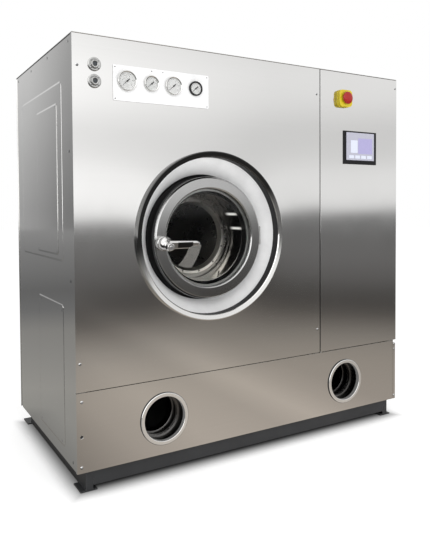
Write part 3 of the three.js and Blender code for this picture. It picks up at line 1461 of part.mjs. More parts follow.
piece(
  stop,
  "stop_stem",
  turned(
    [
      [0, noseFront],
      [STOP_NOSE, noseFront],
      [STOP_NOSE, stemFront],
      [STOP_STEM, stemFront],
      [STOP_STEM, STOP_BARREL_BACK - STOP_CAP_GAP],
      [0, STOP_BARREL_BACK - STOP_CAP_GAP],
    ],
    SMALL_SIDES,
  ),
  blackPlastic(),
);
const capFront = capBack - STOP_CAP_HEIGHT;
piece(
  stop,
  "stop_cap",
  turned(
    [
      [0, capFront],
      [CAP_CROWN, capFront + CAP_CROWN_DROP],
      [CAP_BROW, capFront + CAP_BROW_DROP],
      [STOP_CAP_RADIUS, capFront + CAP_RIM_DROP],
      [STOP_CAP_RADIUS, capBack - CAP_HEM],
      [CAP_UNDER, capBack],
      [boreFor(STOP_NOSE, TURNED_SIDES), capBack],
      [boreFor(STOP_NOSE, TURNED_SIDES), noseFront - FIT],
      [0, noseFront - FIT],
    ],
    TURNED_SIDES,
  ),
  redPlastic(),
);

// The floor, under the middle of the machine's reach, is the origin.
machine.position.set(-WIDTH / 2, (FRONT_REACH - REAR_REACH) / 2, 0);

const part = new THREE.Group();
part.add(machine);

export default part;
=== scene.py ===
import json
import math

import bmesh
import bpy
import numpy as np
from mathutils import Matrix, Vector

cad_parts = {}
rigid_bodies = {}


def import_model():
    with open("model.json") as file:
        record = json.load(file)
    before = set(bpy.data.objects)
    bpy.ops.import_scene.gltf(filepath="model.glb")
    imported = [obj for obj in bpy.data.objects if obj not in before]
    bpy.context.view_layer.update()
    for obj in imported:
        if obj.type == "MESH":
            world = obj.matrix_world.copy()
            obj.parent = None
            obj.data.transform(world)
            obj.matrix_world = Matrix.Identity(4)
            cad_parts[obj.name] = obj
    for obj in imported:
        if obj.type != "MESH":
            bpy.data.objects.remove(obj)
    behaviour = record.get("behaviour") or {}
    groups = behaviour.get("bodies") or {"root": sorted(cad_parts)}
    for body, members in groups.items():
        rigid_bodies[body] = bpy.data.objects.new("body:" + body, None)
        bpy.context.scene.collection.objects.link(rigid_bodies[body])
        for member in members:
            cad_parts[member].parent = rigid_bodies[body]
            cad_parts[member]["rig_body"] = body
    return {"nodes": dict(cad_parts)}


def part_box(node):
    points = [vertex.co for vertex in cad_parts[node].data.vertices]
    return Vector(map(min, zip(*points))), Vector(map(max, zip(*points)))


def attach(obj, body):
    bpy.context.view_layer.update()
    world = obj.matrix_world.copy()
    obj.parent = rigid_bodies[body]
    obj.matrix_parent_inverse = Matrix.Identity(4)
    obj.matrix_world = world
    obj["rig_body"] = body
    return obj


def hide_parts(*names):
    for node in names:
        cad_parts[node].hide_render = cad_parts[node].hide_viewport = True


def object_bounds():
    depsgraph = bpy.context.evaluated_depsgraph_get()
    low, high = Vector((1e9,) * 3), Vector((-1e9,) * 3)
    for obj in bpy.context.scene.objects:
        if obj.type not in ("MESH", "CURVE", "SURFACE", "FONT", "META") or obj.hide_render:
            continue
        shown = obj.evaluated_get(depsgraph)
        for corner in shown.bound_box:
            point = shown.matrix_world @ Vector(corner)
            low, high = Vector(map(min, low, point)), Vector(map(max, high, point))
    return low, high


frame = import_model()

cad_low, cad_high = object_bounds()
MM = 0.001


# ---------------------------------------------------------------- camera
# The machine is seen from its left front corner, from a little over two metres away at chest height.
# The camera's place is measured from the lower left front corner of the lower panel.
PICTURE_HEIGHT = 533
FOCAL_PIXELS = 588.4
AXIS_ROW = 225.66
SENSOR = 36.0
CAMERA_FROM_CORNER = Vector((-0.686, -2.201, 1.029))
CAMERA_YAW = 0.5376
CAMERA_PITCH = -0.0305
CAMERA_ROLL = -0.006


def camera_turn(yaw, pitch, roll):
    """Rotation whose columns are right, up and backwards: the level view turned by yaw, tipped by pitch,
    then rolled."""
    ahead = Vector((math.sin(yaw) * math.cos(pitch), math.cos(yaw) * math.cos(pitch), math.sin(pitch)))
    level = Vector((math.cos(yaw), -math.sin(yaw), 0))
    over = level.cross(ahead)
    right = math.cos(roll) * level + math.sin(roll) * over
    up = math.cos(roll) * over - math.sin(roll) * level
    return Matrix((right, up, -ahead)).transposed()


camera_data = bpy.data.cameras.new("camera")
camera_data.sensor_width = SENSOR
camera_data.lens = SENSOR * FOCAL_PIXELS / PICTURE_HEIGHT
camera_data.shift_y = (AXIS_ROW - PICTURE_HEIGHT / 2) / PICTURE_HEIGHT
camera = bpy.data.objects.new("camera", camera_data)
bpy.context.scene.collection.objects.link(camera)
camera.matrix_world = Matrix.Translation(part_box("lower_panel")[0] + CAMERA_FROM_CORNER) \
    @ camera_turn(CAMERA_YAW, CAMERA_PITCH, CAMERA_ROLL).to_4x4()
bpy.context.scene.camera = camera
bpy.context.scene.view_settings.view_transform = "Standard"


# ---------------------------------------------------------------- studio
# A white room: pale floor, pale air, a broad lamp and a low fill. What the steel mirrors is the room of
# such a
# studio: a warm pool of floor round the machine, a darker ring past it, a bright band over the horizon.
ROOM_LIGHT = 0.74
LAMP_POWER = 52.0
LAMP_PLACE = Vector((-1.9, -4.2, 3.9))
LAMP_SIZE = (3.6, 2.6)
LAMP_AIM = Vector((0.0, -0.4, 0.9))
FILL_POWER = 52.0
FILL_SIZE = (2.6, 2.6)
FILL_PLACE = Vector((1.2, -4.2, 0.9))
FLOOR_RADIUS = 30.0
FLOOR_SIDES = 96
FLOOR_DROP = 0.0005
FLOOR_COLOUR = (0.86, 0.86, 0.86, 1)
FLOOR_GLOW = 0.40
SHADOW_START = -0.07
SHADOW_END = 0.07
SHADOW_ASIDE = 0.015
POOL_REACH = 4.0
FAR_FLOOR = 0.19
POOL_STOPS = ((0.0, 0.46, 0.41, 0.36), (0.2, 0.44, 0.395, 0.345), (0.286, 0.38, 0.345, 0.305),
              (0.339, 0.31, 0.285, 0.255), (0.389, 0.225, 0.205, 0.185), (0.441, 0.13, 0.12, 0.11),
              (0.5, 0.094, 0.088, 0.083), (0.556, 0.112, 0.108, 0.103), (0.615, 0.155, 0.15, 0.147),
              (0.733, 0.2, 0.196, 0.194), (1.0, 0.19, 0.19, 0.19))
SKY_STOPS = ((0.0, 1.0), (0.02, 1.05), (0.06, 1.03), (0.09, 0.86), (0.13, 0.82), (0.18, 1.02),
             (0.22, 1.06), (0.27, 0.93), (0.5, 0.9), (1.0, 0.86))
LEFT_STOPS = ((0.0, 0.21, 0.208, 0.2), (0.05, 0.33, 0.325, 0.305), (0.12, 0.355, 0.347, 0.325),
              (0.28, 0.30, 0.295, 0.28), (0.37, 0.275, 0.27, 0.257), (0.465, 0.18), (0.56, 0.15),
              (0.665, 0.2),
              (0.77, 0.24), (0.88, 0.31), (1.0, 0.36))
FRONT_SHADES = ((0.05, 0.68), (0.16, 1.0), (0.3, 1.2), (0.38, 1.15), (0.47, 1.08), (0.57, 1.28),
                (0.67, 1.05),
                (0.78, 0.9), (1.0, 0.85))
FRONT_SHADES_WIDTH = 2.4
LEFT_BLEND = 0.04
WALL_FOOT = (0.052, -0.0355, -0.03, 0.003)
WALL_BLUR = (-0.011, 0.009)
AHEAD_FADE = (-1.0, 1.55, 0.97, 2.6)
BEHIND_FADE = (8.3, 3.0, 0.6, 1.15)
TURN_BLUR = 0.2
REAR_STOPS = ((0.0, 0.37), (0.08, 0.46), (0.14, 0.54), (0.2, 0.61), (0.27, 0.66), (0.5, 0.8), (1.0, 0.86))


def feed(tree, node, inputs):
    """Gives a node's inputs their values or links."""
    for socket, value in inputs.items():
        if isinstance(value, bpy.types.NodeSocket):
            tree.links.new(value, node.inputs[socket])
        else:
            node.inputs[socket].default_value = value


def add(tree, kind, inputs=None, **settings):
    """Adds a shader node, sets its properties, and feeds its inputs."""
    made = tree.nodes.new("ShaderNode" + kind)
    for name, value in settings.items():
        setattr(made, name, value)
    feed(tree, made, inputs or {})
    return made


def maths(tree, operation, *values):
    """One sum of two or three numbers or outputs."""
    return add(tree, "Math", dict(enumerate(values)), operation=operation).outputs[0]


def vector_maths(tree, operation, *values):
    """One vector operation: its number for a length or product, and its vector for the rest."""
    made = add(tree, "VectorMath", dict(enumerate(values)), operation=operation)
    return made.outputs[1] if operation in ("LENGTH", "DISTANCE", "DOT_PRODUCT") else made.outputs[0]


def parts(tree, vector):
    """The x, y and z of a vector."""
    return add(tree, "SeparateXYZ", {0: vector}).outputs


def from_point(tree, place, point):
    """A place as measured from a point."""
    return vector_maths(tree, "SUBTRACT", place, tuple(point))


def past_box(tree, place, centre, half):
    """How far a place lies past a box's sides along each axis: |place - centre| - half."""
    return vector_maths(tree, "SUBTRACT", vector_maths(tree, "ABSOLUTE", from_point(tree, place, centre)),
                        tuple(half))


def stepped(tree, value, low, high, start=0.0, end=1.0):
    """A smooth step of value from start at low to end at high."""
    return add(tree, "MapRange", {0: value, 1: low, 2: high, 3: start, 4: end},
               interpolation_type="SMOOTHSTEP").outputs[0]


def ramp(tree, value, stops):
    """A colour ramp through stops of (place, grey) or (place, red, green, blue)."""
    made = add(tree, "ValToRGB", {0: value})
    while len(made.color_ramp.elements) < len(stops):
        made.color_ramp.elements.new(0.5)
    for element, (place, *colour) in zip(made.color_ramp.elements, stops):
        element.position = place
        element.color = (*(colour * 3)[:3], 1)
    return made.outputs[0]


def mixed(tree, factor, first, second):
    """Colour between first and second."""
    return add(tree, "Mix", {0: factor, 6: first, 7: second}, data_type="RGBA").outputs[2]


def held_line(tree, value, slope, level, least, most):
    """slope times value plus level, held between least and most."""
    sloped = maths(tree, "MULTIPLY_ADD", value, slope, level)
    return maths(tree, "MAXIMUM", maths(tree, "MINIMUM", sloped, most), least)


def mirrored_air(tree):
    """What steel sees above the floor: a bright band from the horizon up in front, a dimmer rise behind.
    The band's lower edge climbs to the right, as a wall that runs away from the machine does."""
    direction = add(tree, "TexCoord").outputs["Generated"]
    x, y, z = parts(tree, direction)
    wall_foot = held_line(tree, x, *WALL_FOOT)
    over_foot = stepped(tree, maths(tree, "SUBTRACT", z, wall_foot), *WALL_BLUR)
    bright = maths(tree, "MULTIPLY", ramp(tree, z, SKY_STOPS), held_line(tree, x, *AHEAD_FADE))
    ahead = add(tree, "Mix", {0: over_foot, 2: FAR_FLOOR, 3: bright}).outputs[0]
    behind = maths(tree, "MULTIPLY", ramp(tree, z, REAR_STOPS), held_line(tree, x, *BEHIND_FADE))
    return mixed(tree, stepped(tree, y, -TURN_BLUR, TURN_BLUR), ahead, behind)


world = bpy.data.worlds.new("studio_air")
bpy.context.scene.world = world
world.use_nodes = True
world.cycles.sampling_method = "NONE"
air = world.node_tree
air.nodes.clear()
air_path = add(air, "LightPath").outputs
air_plain = add(air, "Background", {"Color": (1, 1, 1, 1), "Strength": ROOM_LIGHT}).outputs[0]
air_mirrored = add(air, "Background", {"Color": mirrored_air(air), "Strength": 1.0}).outputs[0]
air_seen = add(air, "Background", {"Color": (1, 1, 1, 1), "Strength": 1.0}).outputs[0]
air_glossy = maths(air, "MAXIMUM", air_path["Is Glossy Ray"], air_path["Is Transmission Ray"])
air_lit = add(air, "MixShader", {0: air_glossy, 1: air_plain, 2: air_mirrored}).outputs[0]
air_all = add(air, "MixShader", {0: air_path["Is Camera Ray"], 1: air_lit, 2: air_seen}).outputs[0]
add(air, "OutputWorld", {"Surface": air_all})

floor_material = bpy.data.materials.new("studio_floor")
floor_material.use_nodes = True
floor_material.cycles.emission_sampling = "NONE"
ground = floor_material.node_tree
ground.nodes.clear()
ground_path = add(ground, "LightPath").outputs
ground_place = add(ground, "NewGeometry").outputs["Position"]
machine_middle = (cad_low + cad_high) / 2
machine_half = (cad_high - cad_low) / 2
past_machine = past_box(ground, ground_place, (machine_middle.x, machine_middle.y, 0),
                        (machine_half.x, machine_half.y, 0))
pool_distance = vector_maths(ground, "LENGTH", vector_maths(ground, "MAXIMUM", past_machine, (0, 0, 0)))
pool_share = maths(ground, "DIVIDE", pool_distance, maths(ground, "ADD", pool_distance, POOL_REACH))
side_low, side_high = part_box("left_side_panel")
footprint_middle = (machine_middle.x, (side_low.y + side_high.y) / 2, 0)
footprint_half = (machine_half.x, (side_high.y - side_low.y) / 2, 0)
past_x, past_y, _ = parts(ground, past_box(ground, ground_place, footprint_middle, footprint_half))
past_edge = maths(ground, "MAXIMUM", maths(ground, "ADD", past_x, SHADOW_ASIDE), past_y)
# Painted shadow: shade fades the floor's colour, its glow and the colour that steel mirrors of it to black
# under and close round the machine's footprint.
shade = stepped(ground, past_edge, SHADOW_START, SHADOW_END)
ground_diffuse = add(ground, "BsdfDiffuse", {"Color": mixed(ground, shade, (0, 0, 0, 1), FLOOR_COLOUR)})
ground_glow = add(ground, "Emission", {"Strength": maths(ground, "MULTIPLY", shade, FLOOR_GLOW)})
ground_lit = add(ground, "AddShader", {0: ground_diffuse.outputs[0], 1: ground_glow.outputs[0]}).outputs[0]
ground_x = parts(ground, ground_place)[0]
front_share = maths(ground, "DIVIDE", maths(ground, "SUBTRACT", ground_x, cad_low.x), FRONT_SHADES_WIDTH)
front_pool = vector_maths(ground, "MULTIPLY", ramp(ground, pool_share, POOL_STOPS),
                          ramp(ground, front_share, FRONT_SHADES))
left_share = stepped(ground, ground_x, cad_low.x - LEFT_BLEND, cad_low.x, 1.0, 0.0)
pool_colour = mixed(ground, left_share, front_pool, ramp(ground, pool_share, LEFT_STOPS))
ground_mirrored = add(ground, "Emission", {"Color": pool_colour, "Strength": shade}).outputs[0]
ground_glossy = maths(ground, "MAXIMUM", ground_path["Is Glossy Ray"], ground_path["Is Transmission Ray"])
ground_all = add(ground, "MixShader", {0: ground_glossy, 1: ground_lit, 2: ground_mirrored}).outputs[0]
add(ground, "OutputMaterial", {"Surface": ground_all})

floor_mesh = bpy.data.meshes.new("studio_floor")
floor_turns = np.linspace(0, 2 * math.pi, FLOOR_SIDES, endpoint=False)
floor_rim = np.stack([np.cos(floor_turns), np.sin(floor_turns), 0 * floor_turns], axis=1) * FLOOR_RADIUS
floor_mesh.from_pydata((floor_rim + (0, 0, cad_low.z - FLOOR_DROP)).tolist(), [], [list(range(FLOOR_SIDES))])
floor_mesh.materials.append(floor_material)
studio_floor = bpy.data.objects.new("studio_floor", floor_mesh)
bpy.context.scene.collection.objects.link(studio_floor)


def area_lamp(name, size, power, place):
    """An area lamp aimed at the machine, unseen in steel and glass, which mirror the drawn room instead."""
    data = bpy.data.lights.new(name, "AREA")
    data.shape = "RECTANGLE"
    data.size, data.size_y = size
    data.energy = power
    lamp = bpy.data.objects.new(name, data)
    bpy.context.scene.collection.objects.link(lamp)
    lamp.location = place
    lamp.rotation_euler = (LAMP_AIM - place).to_track_quat("-Z", "Y").to_euler()
    lamp.visible_glossy = False
    lamp.visible_transmission = False


area_lamp("broad_lamp", LAMP_SIZE, LAMP_POWER, LAMP_PLACE)
area_lamp("fill_lamp", FILL_SIZE, FILL_POWER, FILL_PLACE)


# ---------------------------------------------------------------- base
# Two side rails with foot plates and two cross rails, welded from square tube and powder coated dark grey.
# The coat has a fine orange peel and is rubbed bright along its edges.
BASE_GREY = (0.040, 0.041, 0.043, 1)
BASE_RUBBED = (0.16, 0.16, 0.165, 1)
BASE_EASING = 1.2 * MM
MERGE_DISTANCE = 1e-6
BEVEL_LEAST_TURN = math.radians(35)
FLAT_TURN = math.radians(0.5)
WORN_TURN = (0.01, 0.16)
WORN_BREAKS = (0.3, 0.6, 0.35, 1.0)
SMUDGE_RANGE = (0.32, 0.68)
COAT_MARKS = 7.0
STEEL_MARKS = 3.5
STEEL_WEAR = 1.5 * MM


def shader_group(name, inputs, outputs):
    """An empty node group with named inputs of (kind, default) and named outputs; gives its tree and both
    ends."""
    tree = bpy.data.node_groups.new(name, "ShaderNodeTree")
    for label, (kind, default) in inputs.items():
        socket = tree.interface.new_socket(label, in_out="INPUT", socket_type="NodeSocket" + kind)
        socket.default_value = default
    for label, kind in outputs.items():
        tree.interface.new_socket(label, in_out="OUTPUT", socket_type="NodeSocket" + kind)
    return tree, tree.nodes.new("NodeGroupInput").outputs, tree.nodes.new("NodeGroupOutput").inputs


def grouped(tree, group, inputs=None):
    """Places a node group in a material and gives its outputs."""
    return add(tree, "Group", inputs, node_tree=group).outputs


def edge_wear_group():
    """Mask of rubbed edges: how far a rounded normal leaves the true one, broken up by a fine noise."""
    tree, given, out = shader_group("edge_wear", {"Place": ("Vector", (0, 0, 0)), "Radius": ("Float", 0.002),
                                                  "Breakup": ("Float", 60.0)}, {"Mask": "Float"})
    rounded = add(tree, "Bevel", {"Radius": given["Radius"]}, samples=4).outputs[0]
    true = add(tree, "NewGeometry").outputs["Normal"]
    away = maths(tree, "SUBTRACT", 1.0, vector_maths(tree, "DOT_PRODUCT", rounded, true))
    noise = add(tree, "TexNoise",
                {"Vector": given["Place"], "Scale": given["Breakup"], "Detail": 3.0}).outputs[0]
    mask = maths(tree, "MULTIPLY", stepped(tree, away, *WORN_TURN), stepped(tree, noise, *WORN_BREAKS))
    tree.links.new(mask, out["Mask"])
    return tree


def smudge_group():
    """Soft handling marks: a broad noise, pulled to light and dark."""
    tree, given, out = shader_group("smudges", {"Place": ("Vector", (0, 0, 0)), "Scale": ("Float", 4.0)},
                                    {"Value": "Float"})
    noise = add(tree, "TexNoise", {"Vector": given["Place"], "Scale": given["Scale"], "Detail": 5.0,
                                   "Roughness": 0.6}).outputs[0]
    tree.links.new(stepped(tree, noise, *SMUDGE_RANGE), out["Value"])
    return tree


def grain_group():
    """Fine brushed lines: noise stretched along the brush's way by a scale that is large across it."""
    tree, given, out = shader_group("grain",
                                    {"Place": ("Vector", (0, 0, 0)), "Stretch": ("Vector", (2, 2, 700))},
                                    {"Value": "Float"})
    stretched = vector_maths(tree, "MULTIPLY", given["Place"], given["Stretch"])
    noise = add(tree, "TexNoise",
                {"Vector": stretched, "Scale": 1.0, "Detail": 3.0, "Roughness": 0.65}).outputs[0]
    tree.links.new(noise, out["Value"])
    return tree


edge_wear = edge_wear_group()
smudges = smudge_group()
grain = grain_group()


def finish(name):
    """A new material with its tree, its Principled shader and its Object coordinates."""
    material = bpy.data.materials.new(name)
    material.use_nodes = True
    tree = material.node_tree
    tree.nodes.clear()
    shader = add(tree, "BsdfPrincipled")
    add(tree, "OutputMaterial", {"Surface": shader.outputs[0]})
    return material, tree, shader, add(tree, "TexCoord").outputs["Object"]


def toned(colour, share):
    """A colour made darker or brighter by a share, held to white."""
    return tuple(min(1, share * part) for part in colour[:3]) + (1,)


def soft_marks(tree, place, scale):
    """Soft handling marks, from 0 to 1."""
    return grouped(tree, smudges, {"Place": place, "Scale": scale})["Value"]


def worn_edges(tree, place, radius):
    """Mask of rubbed edges."""
    return grouped(tree, edge_wear, {"Place": place, "Radius": radius})["Mask"]


def relief_normal(tree, height, distance=1.0):
    """The normal that a height field gives."""
    return add(tree, "Bump", {"Height": height, "Strength": 1.0, "Distance": distance}).outputs[0]


def coated(name, colour, rubbed, roughness, peel_scale, peel_depth, wear_radius=0.002, shine=0.5, glow=0.0):
    """Paint, plastic or rubber: colour varied by soft marks and rubbed at the edges, over a fine relief."""
    material, tree, shader, place = finish(name)
    marks = soft_marks(tree, place, COAT_MARKS)
    body_colour = mixed(tree, worn_edges(tree, place, wear_radius),
                        mixed(tree, marks, toned(colour, 0.88), colour), rubbed)
    peel = add(tree, "TexNoise", {"Vector": place, "Scale": peel_scale, "Detail": 2.0}).outputs[0]
    feed(tree, shader, {"Base Color": body_colour, "Emission Color": body_colour, "Emission Strength": glow,
                        "Roughness": stepped(tree, marks, 0, 1, roughness, roughness * 1.12),
                        "Normal": relief_normal(tree, peel, peel_depth), "Specular IOR Level": shine})
    return material


def dress(piece, body, slot, material, *nodes):
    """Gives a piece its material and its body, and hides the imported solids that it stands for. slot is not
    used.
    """
    if piece.name not in bpy.context.scene.collection.objects:
        bpy.context.scene.collection.objects.link(piece)
    piece.data.materials.clear()
    piece.data.materials.append(material)
    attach(piece, body)
    if nodes:
        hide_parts(*nodes)
    return piece


def eased_solid(node, easing, slot, material):
    """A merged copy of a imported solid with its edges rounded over, in place of that solid. The copy takes
    only the
    solid's corners and faces, and its normals are weighted by area, so that flat faces stay flat."""
    source = frame["nodes"][node]
    mesh = bpy.data.meshes.new(node + "_finished")
    mesh.from_pydata([corner.co for corner in source.data.vertices], [],
                     [face.vertices for face in source.data.polygons])
    merged = bmesh.new()
    merged.from_mesh(mesh)
    bmesh.ops.remove_doubles(merged, verts=merged.verts, dist=MERGE_DISTANCE)
    bmesh.ops.dissolve_limit(merged, angle_limit=FLAT_TURN, verts=merged.verts, edges=merged.edges)
    merged.to_mesh(mesh)
    merged.free()
    mesh.shade_smooth()
    piece = bpy.data.objects.new(node + "_finished", mesh)
    rounding = piece.modifiers.new("rounded_edges", "BEVEL")
    rounding.width = easing
    rounding.segments = 2
    rounding.limit_method = "ANGLE"
    rounding.angle_limit = BEVEL_LEAST_TURN
    piece.modifiers.new("flat_faces", "WEIGHTED_NORMAL").keep_sharp = True
    return dress(piece, source["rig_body"], slot, material, node)


def eased_solids(easing, slot, material, *nodes):
    """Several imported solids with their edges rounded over."""
    for node in nodes:
        eased_solid(node, easing, slot, material)


base_coat = coated("base_coat", BASE_GREY, BASE_RUBBED, 0.42, 900.0, 0.00008, shine=0.2)
eased_solids(BASE_EASING, "base_paint", base_coat, "base_rail_left", "base_rail_right", "base_rail_front",
             "base_rail_rear")


# ---------------------------------------------------------------- frame and tray
# Folded steel posts and a rimmed floor tray of plain mill sheet, bolted to the base. They show only
# through the gaps and with the control door open.
MILL_TONE = (0.50, 0.50, 0.49, 1)
MILL_ROUGHNESS = 0.36
SHEET_EASING = 0.6 * MM
NEAR_BLACK = (0.02, 0.02, 0.02, 1)
MARK_SHARE = 0.25


def steel(name, tone, roughness, stretch, line_depth, line_share=0.06, strain=None, shade=None, glow=None):
    """Bare steel: brushed lines in its colour, roughness and relief, soft marks, and brighter worn edges.
    strain, where given, is a function that adds the sheet's own slow waves to the relief, in metres, and
    shade one that gives how much of its colour each place keeps, from 0 to 1; the rest goes to near black as
    painted shade. glow gives each place's own light, painted light that no lamp gives."""
    material, tree, shader, place = finish(name)
    lines = grouped(tree, grain, {"Place": place, "Stretch": stretch})["Value"]
    plain = mixed(tree, lines, toned(tone, 1 - line_share), tone)
    # Painted shade: where shade is given, the colour fades towards near black.
    if shade:
        plain = mixed(tree, shade(tree, place), NEAR_BLACK, plain)
    # Painted light: where glow is given, the steel gives its own light.
    if glow:
        feed(tree, shader, {"Emission Strength": glow(tree, place)})
    worn = maths(tree, "MULTIPLY", worn_edges(tree, place, STEEL_WEAR), 0.6)
    rough = maths(tree, "MULTIPLY_ADD", soft_marks(tree, place, STEEL_MARKS), roughness * MARK_SHARE,
                  roughness)
    relief = maths(tree, "MULTIPLY", lines, line_depth)
    if strain:
        relief = maths(tree, "ADD", relief, strain(tree, place))
    feed(tree, shader, {"Base Color": mixed(tree, worn, plain, toned(tone, 1.18)), "Emission Color": plain,
                        "Roughness": maths(tree, "MULTIPLY_ADD", lines, roughness * 0.2, rough),
                        "Normal": relief_normal(tree, relief), "Metallic": 1.0})
    return material


mill_steel = steel("mill_steel", MILL_TONE, MILL_ROUGHNESS, (30, 30, 30), 0.000004, line_share=0.12)
eased_solids(SHEET_EASING, "mill_steel", mill_steel, "floor_tray", "post_front_left", "post_front_right",
             "post_rear_left", "post_rear_right", "post_middle")


# ---------------------------------------------------------------- turned work
# Rings, necks, bezels and caps are turned or spun. Each is an outline of (radius, distance) pairs carried
# round an axis, with its corners eased and plain steps beside them that keep flat faces flat.
TURNED_SIDES = 128
SMALL_TURNED_SIDES = 48
ON_AXIS = 1e-7
AWAY = 10
SUNK = 0.3 * MM
FRONT_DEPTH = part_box("front_panel")[0].y
AXES = {"x": np.array([[0, 1, 0], [0, 0, 1], [1, 0, 0]], float),
        "y": np.array([[1, 0, 0], [0, 0, 1], [0, 1, 0]], float),
        "z": np.array([[1, 0, 0], [0, 1, 0], [0, 0, 1]], float)}


def depth(behind):
    """Depth of a plane that lies behind the front panel's face by that many metres."""
    return FRONT_DEPTH + behind


PANEL_SEAT = depth(-0.3 * MM)


def eased(outline, reach, steps=4):
    """A closed outline with rounded corners. Near a corner P the line is (1-t)^2 A + 2t(1-t) P + t^2 B,
    where A
    and B lie on its two sides; one more point outside each of them keeps the side straight up to there."""
    corner = np.asarray(outline, float)
    back, ahead = (np.roll(corner, turn, axis=0) - corner for turn in (1, -1))
    back_length, ahead_length = (np.maximum(np.linalg.norm(side, axis=1), ON_AXIS) for side in (back, ahead))
    cut = np.minimum(reach, 0.4 * np.minimum(back_length, ahead_length))
    cut[corner[:, 0] < ON_AXIS] = 0
    back = back * (cut / back_length)[:, None]
    ahead = ahead * (cut / ahead_length)[:, None]
    t = np.linspace(0, 1, steps + 1)[None, :, None]
    bend = (1 - t) ** 2 * (corner + back)[:, None] + 2 * t * (1 - t) * corner[:, None] \
        + t ** 2 * (corner + ahead)[:, None]
    hold_back = (corner + 1.2 * back)[:, None]
    hold_ahead = (corner + 1.2 * ahead)[:, None]
    return np.concatenate([hold_back, bend, hold_ahead], axis=1).reshape(-1, 2)


def eased_freely(outline, reach):
    """An eased outline of a form that has no axis, worked out well away from it and brought back."""
    return eased(np.asarray(outline) + (AWAY, 0), reach) - (AWAY, 0)


def rectangle(inner, outer, near, far):
    """Outline of a plain ring or disc between two radii and two depths."""
    return [[inner, near], [outer, near], [outer, far], [inner, far]]


def prism(edge, near, far):
    """Closed grid of an edge carried from near to far, with both ends closed on its middle."""
    core = edge.mean(axis=0)
    rows = [(0, near), (1, near), (1, far), (0, far)]
    return np.stack([core + share * (edge - core) + (0, place, 0) for share, place in rows])


def turned(outline, centre, axis="y", sides=TURNED_SIDES):
    """Points of a turned piece: centre + radius (cos a across + sin a up) + distance along the axis."""
    radius, distance = np.asarray(outline, float).T
    across, up, along = AXES[axis]
    angle = np.linspace(0, 2 * math.pi, sides, endpoint=False)
    circle = np.cos(angle)[:, None] * across + np.sin(angle)[:, None] * up
    return np.asarray(centre) + radius[:, None, None] * circle + distance[:, None, None] * along


def leaning(points, start, end, shift):
    """Points moved aside by shift times their share of the way from depth start to depth end, held to 0 to
    1."""
    share = np.clip((points[..., 1] - start) / (end - start), 0, 1)
    return points + share[..., None] * np.asarray(shift)


def skin(name, points, closed_rows=True, closed_columns=True):
    """One mesh of one or more grids of points: cell (i, j) joins points (i, j), (i+1, j), (i+1, j+1) and
    (i, j+1).
    Doubled points are merged, which closes seams and poles, and the faces are turned outwards."""
    points = np.asarray(points, float).reshape(-1, *np.shape(points)[-3:])
    copies, rows, columns, _ = points.shape
    index = np.arange(copies * rows * columns).reshape(copies, rows, columns)
    if closed_rows:
        index = np.concatenate([index, index[:, :1]], axis=1)
    if closed_columns:
        index = np.concatenate([index, index[:, :, :1]], axis=2)
    cells = np.stack([index[:, :-1, :-1], index[:, 1:, :-1], index[:, 1:, 1:], index[:, :-1, 1:]], axis=-1)
    mesh = bpy.data.meshes.new(name)
    mesh.from_pydata(points.reshape(-1, 3).tolist(), [], cells.reshape(-1, 4).tolist())
    closed = bmesh.new()
    closed.from_mesh(mesh)
    bmesh.ops.remove_doubles(closed, verts=closed.verts, dist=MERGE_DISTANCE)
    bmesh.ops.dissolve_degenerate(closed, dist=MERGE_DISTANCE, edges=closed.edges)
    bmesh.ops.recalc_face_normals(closed, faces=closed.faces)
    closed.to_mesh(mesh)
    closed.free()
    mesh.shade_smooth()
    mesh.set_sharp_from_angle(angle=math.radians(40))
    piece = bpy.data.objects.new(name, mesh)
    piece.modifiers.new("flat_faces", "WEIGHTED_NORMAL").keep_sharp = True
    return piece


def turned_piece(name, outline, easing, centre, body, slot, material, *nodes, axis="y", sides=TURNED_SIDES):
    """A whole turned piece, from its outline to its body."""
    piece = skin(name, turned(eased(outline, easing), centre, axis, sides))
    return dress(piece, body, slot, material, *nodes)


def middle(node):
    """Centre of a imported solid's box, its half width and its nearest and farthest depth."""
    low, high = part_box(node)
    return np.array([(low.x + high.x) / 2, 0, (low.z + high.z) / 2]), (high.x - low.x) / 2, low.y, high.y


# ---------------------------------------------------------------- solvent tanks and their ports
# Two welded tanks of mill sheet fill the base. Each has a neck, rolled with two beads, that ends in a
# polished ring on the lower panel.
POLISHED_TONE = (0.72, 0.715, 0.70, 1)
TANK_EASING = 1.5 * MM
NECK_RADIUS = 95.8 * MM
NECK_WALL = 0.9 * MM
NECK_DEPTH = 150 * MM
BEAD_RISE = 7.5 * MM
BEAD_HALF = 2.7 * MM
BEAD_PLACES = (42.5 * MM, 60.5 * MM, 96 * MM)
PORT_RING_EASING = 1.4 * MM
# NECK_SHADE is painted shade: the necks' steel is near black for the shade deep inside the ports, and the
# drum mouth's rivets take the same darkened steel.
NECK_SHADE = (0.12, 0.117, 0.113, 1)
# PORT_GLOW is painted light on the port rings.
PORT_GLOW = 0.2
PORT_WIDTH = 15.5 * MM
PORT_SHOULDER = 12.88 * MM

polished_steel = steel("polished_steel", POLISHED_TONE, 0.07, (60, 60, 60), 0.0000004, line_share=0.03)
BLACK_RUBBER = (0.011, 0.011, 0.012, 1)
RUBBER_RUBBED = (0.05, 0.05, 0.052, 1)
rubber = coated("rubber", BLACK_RUBBER, RUBBER_RUBBED, 0.5, 500.0, 0.00003)


def port_glow(tree, place):
    """Painted light: the same faint glow all over, which lightens the port ring's face."""
    return PORT_GLOW


port_steel = steel("port_steel", POLISHED_TONE, 0.16, (60, 60, 60), 0.0000004, line_share=0.03,
                   glow=port_glow)
neck_shade_steel = steel("neck_shade_steel", NECK_SHADE, 0.22, (40, 300, 40), 0.0000005, line_share=0.1)


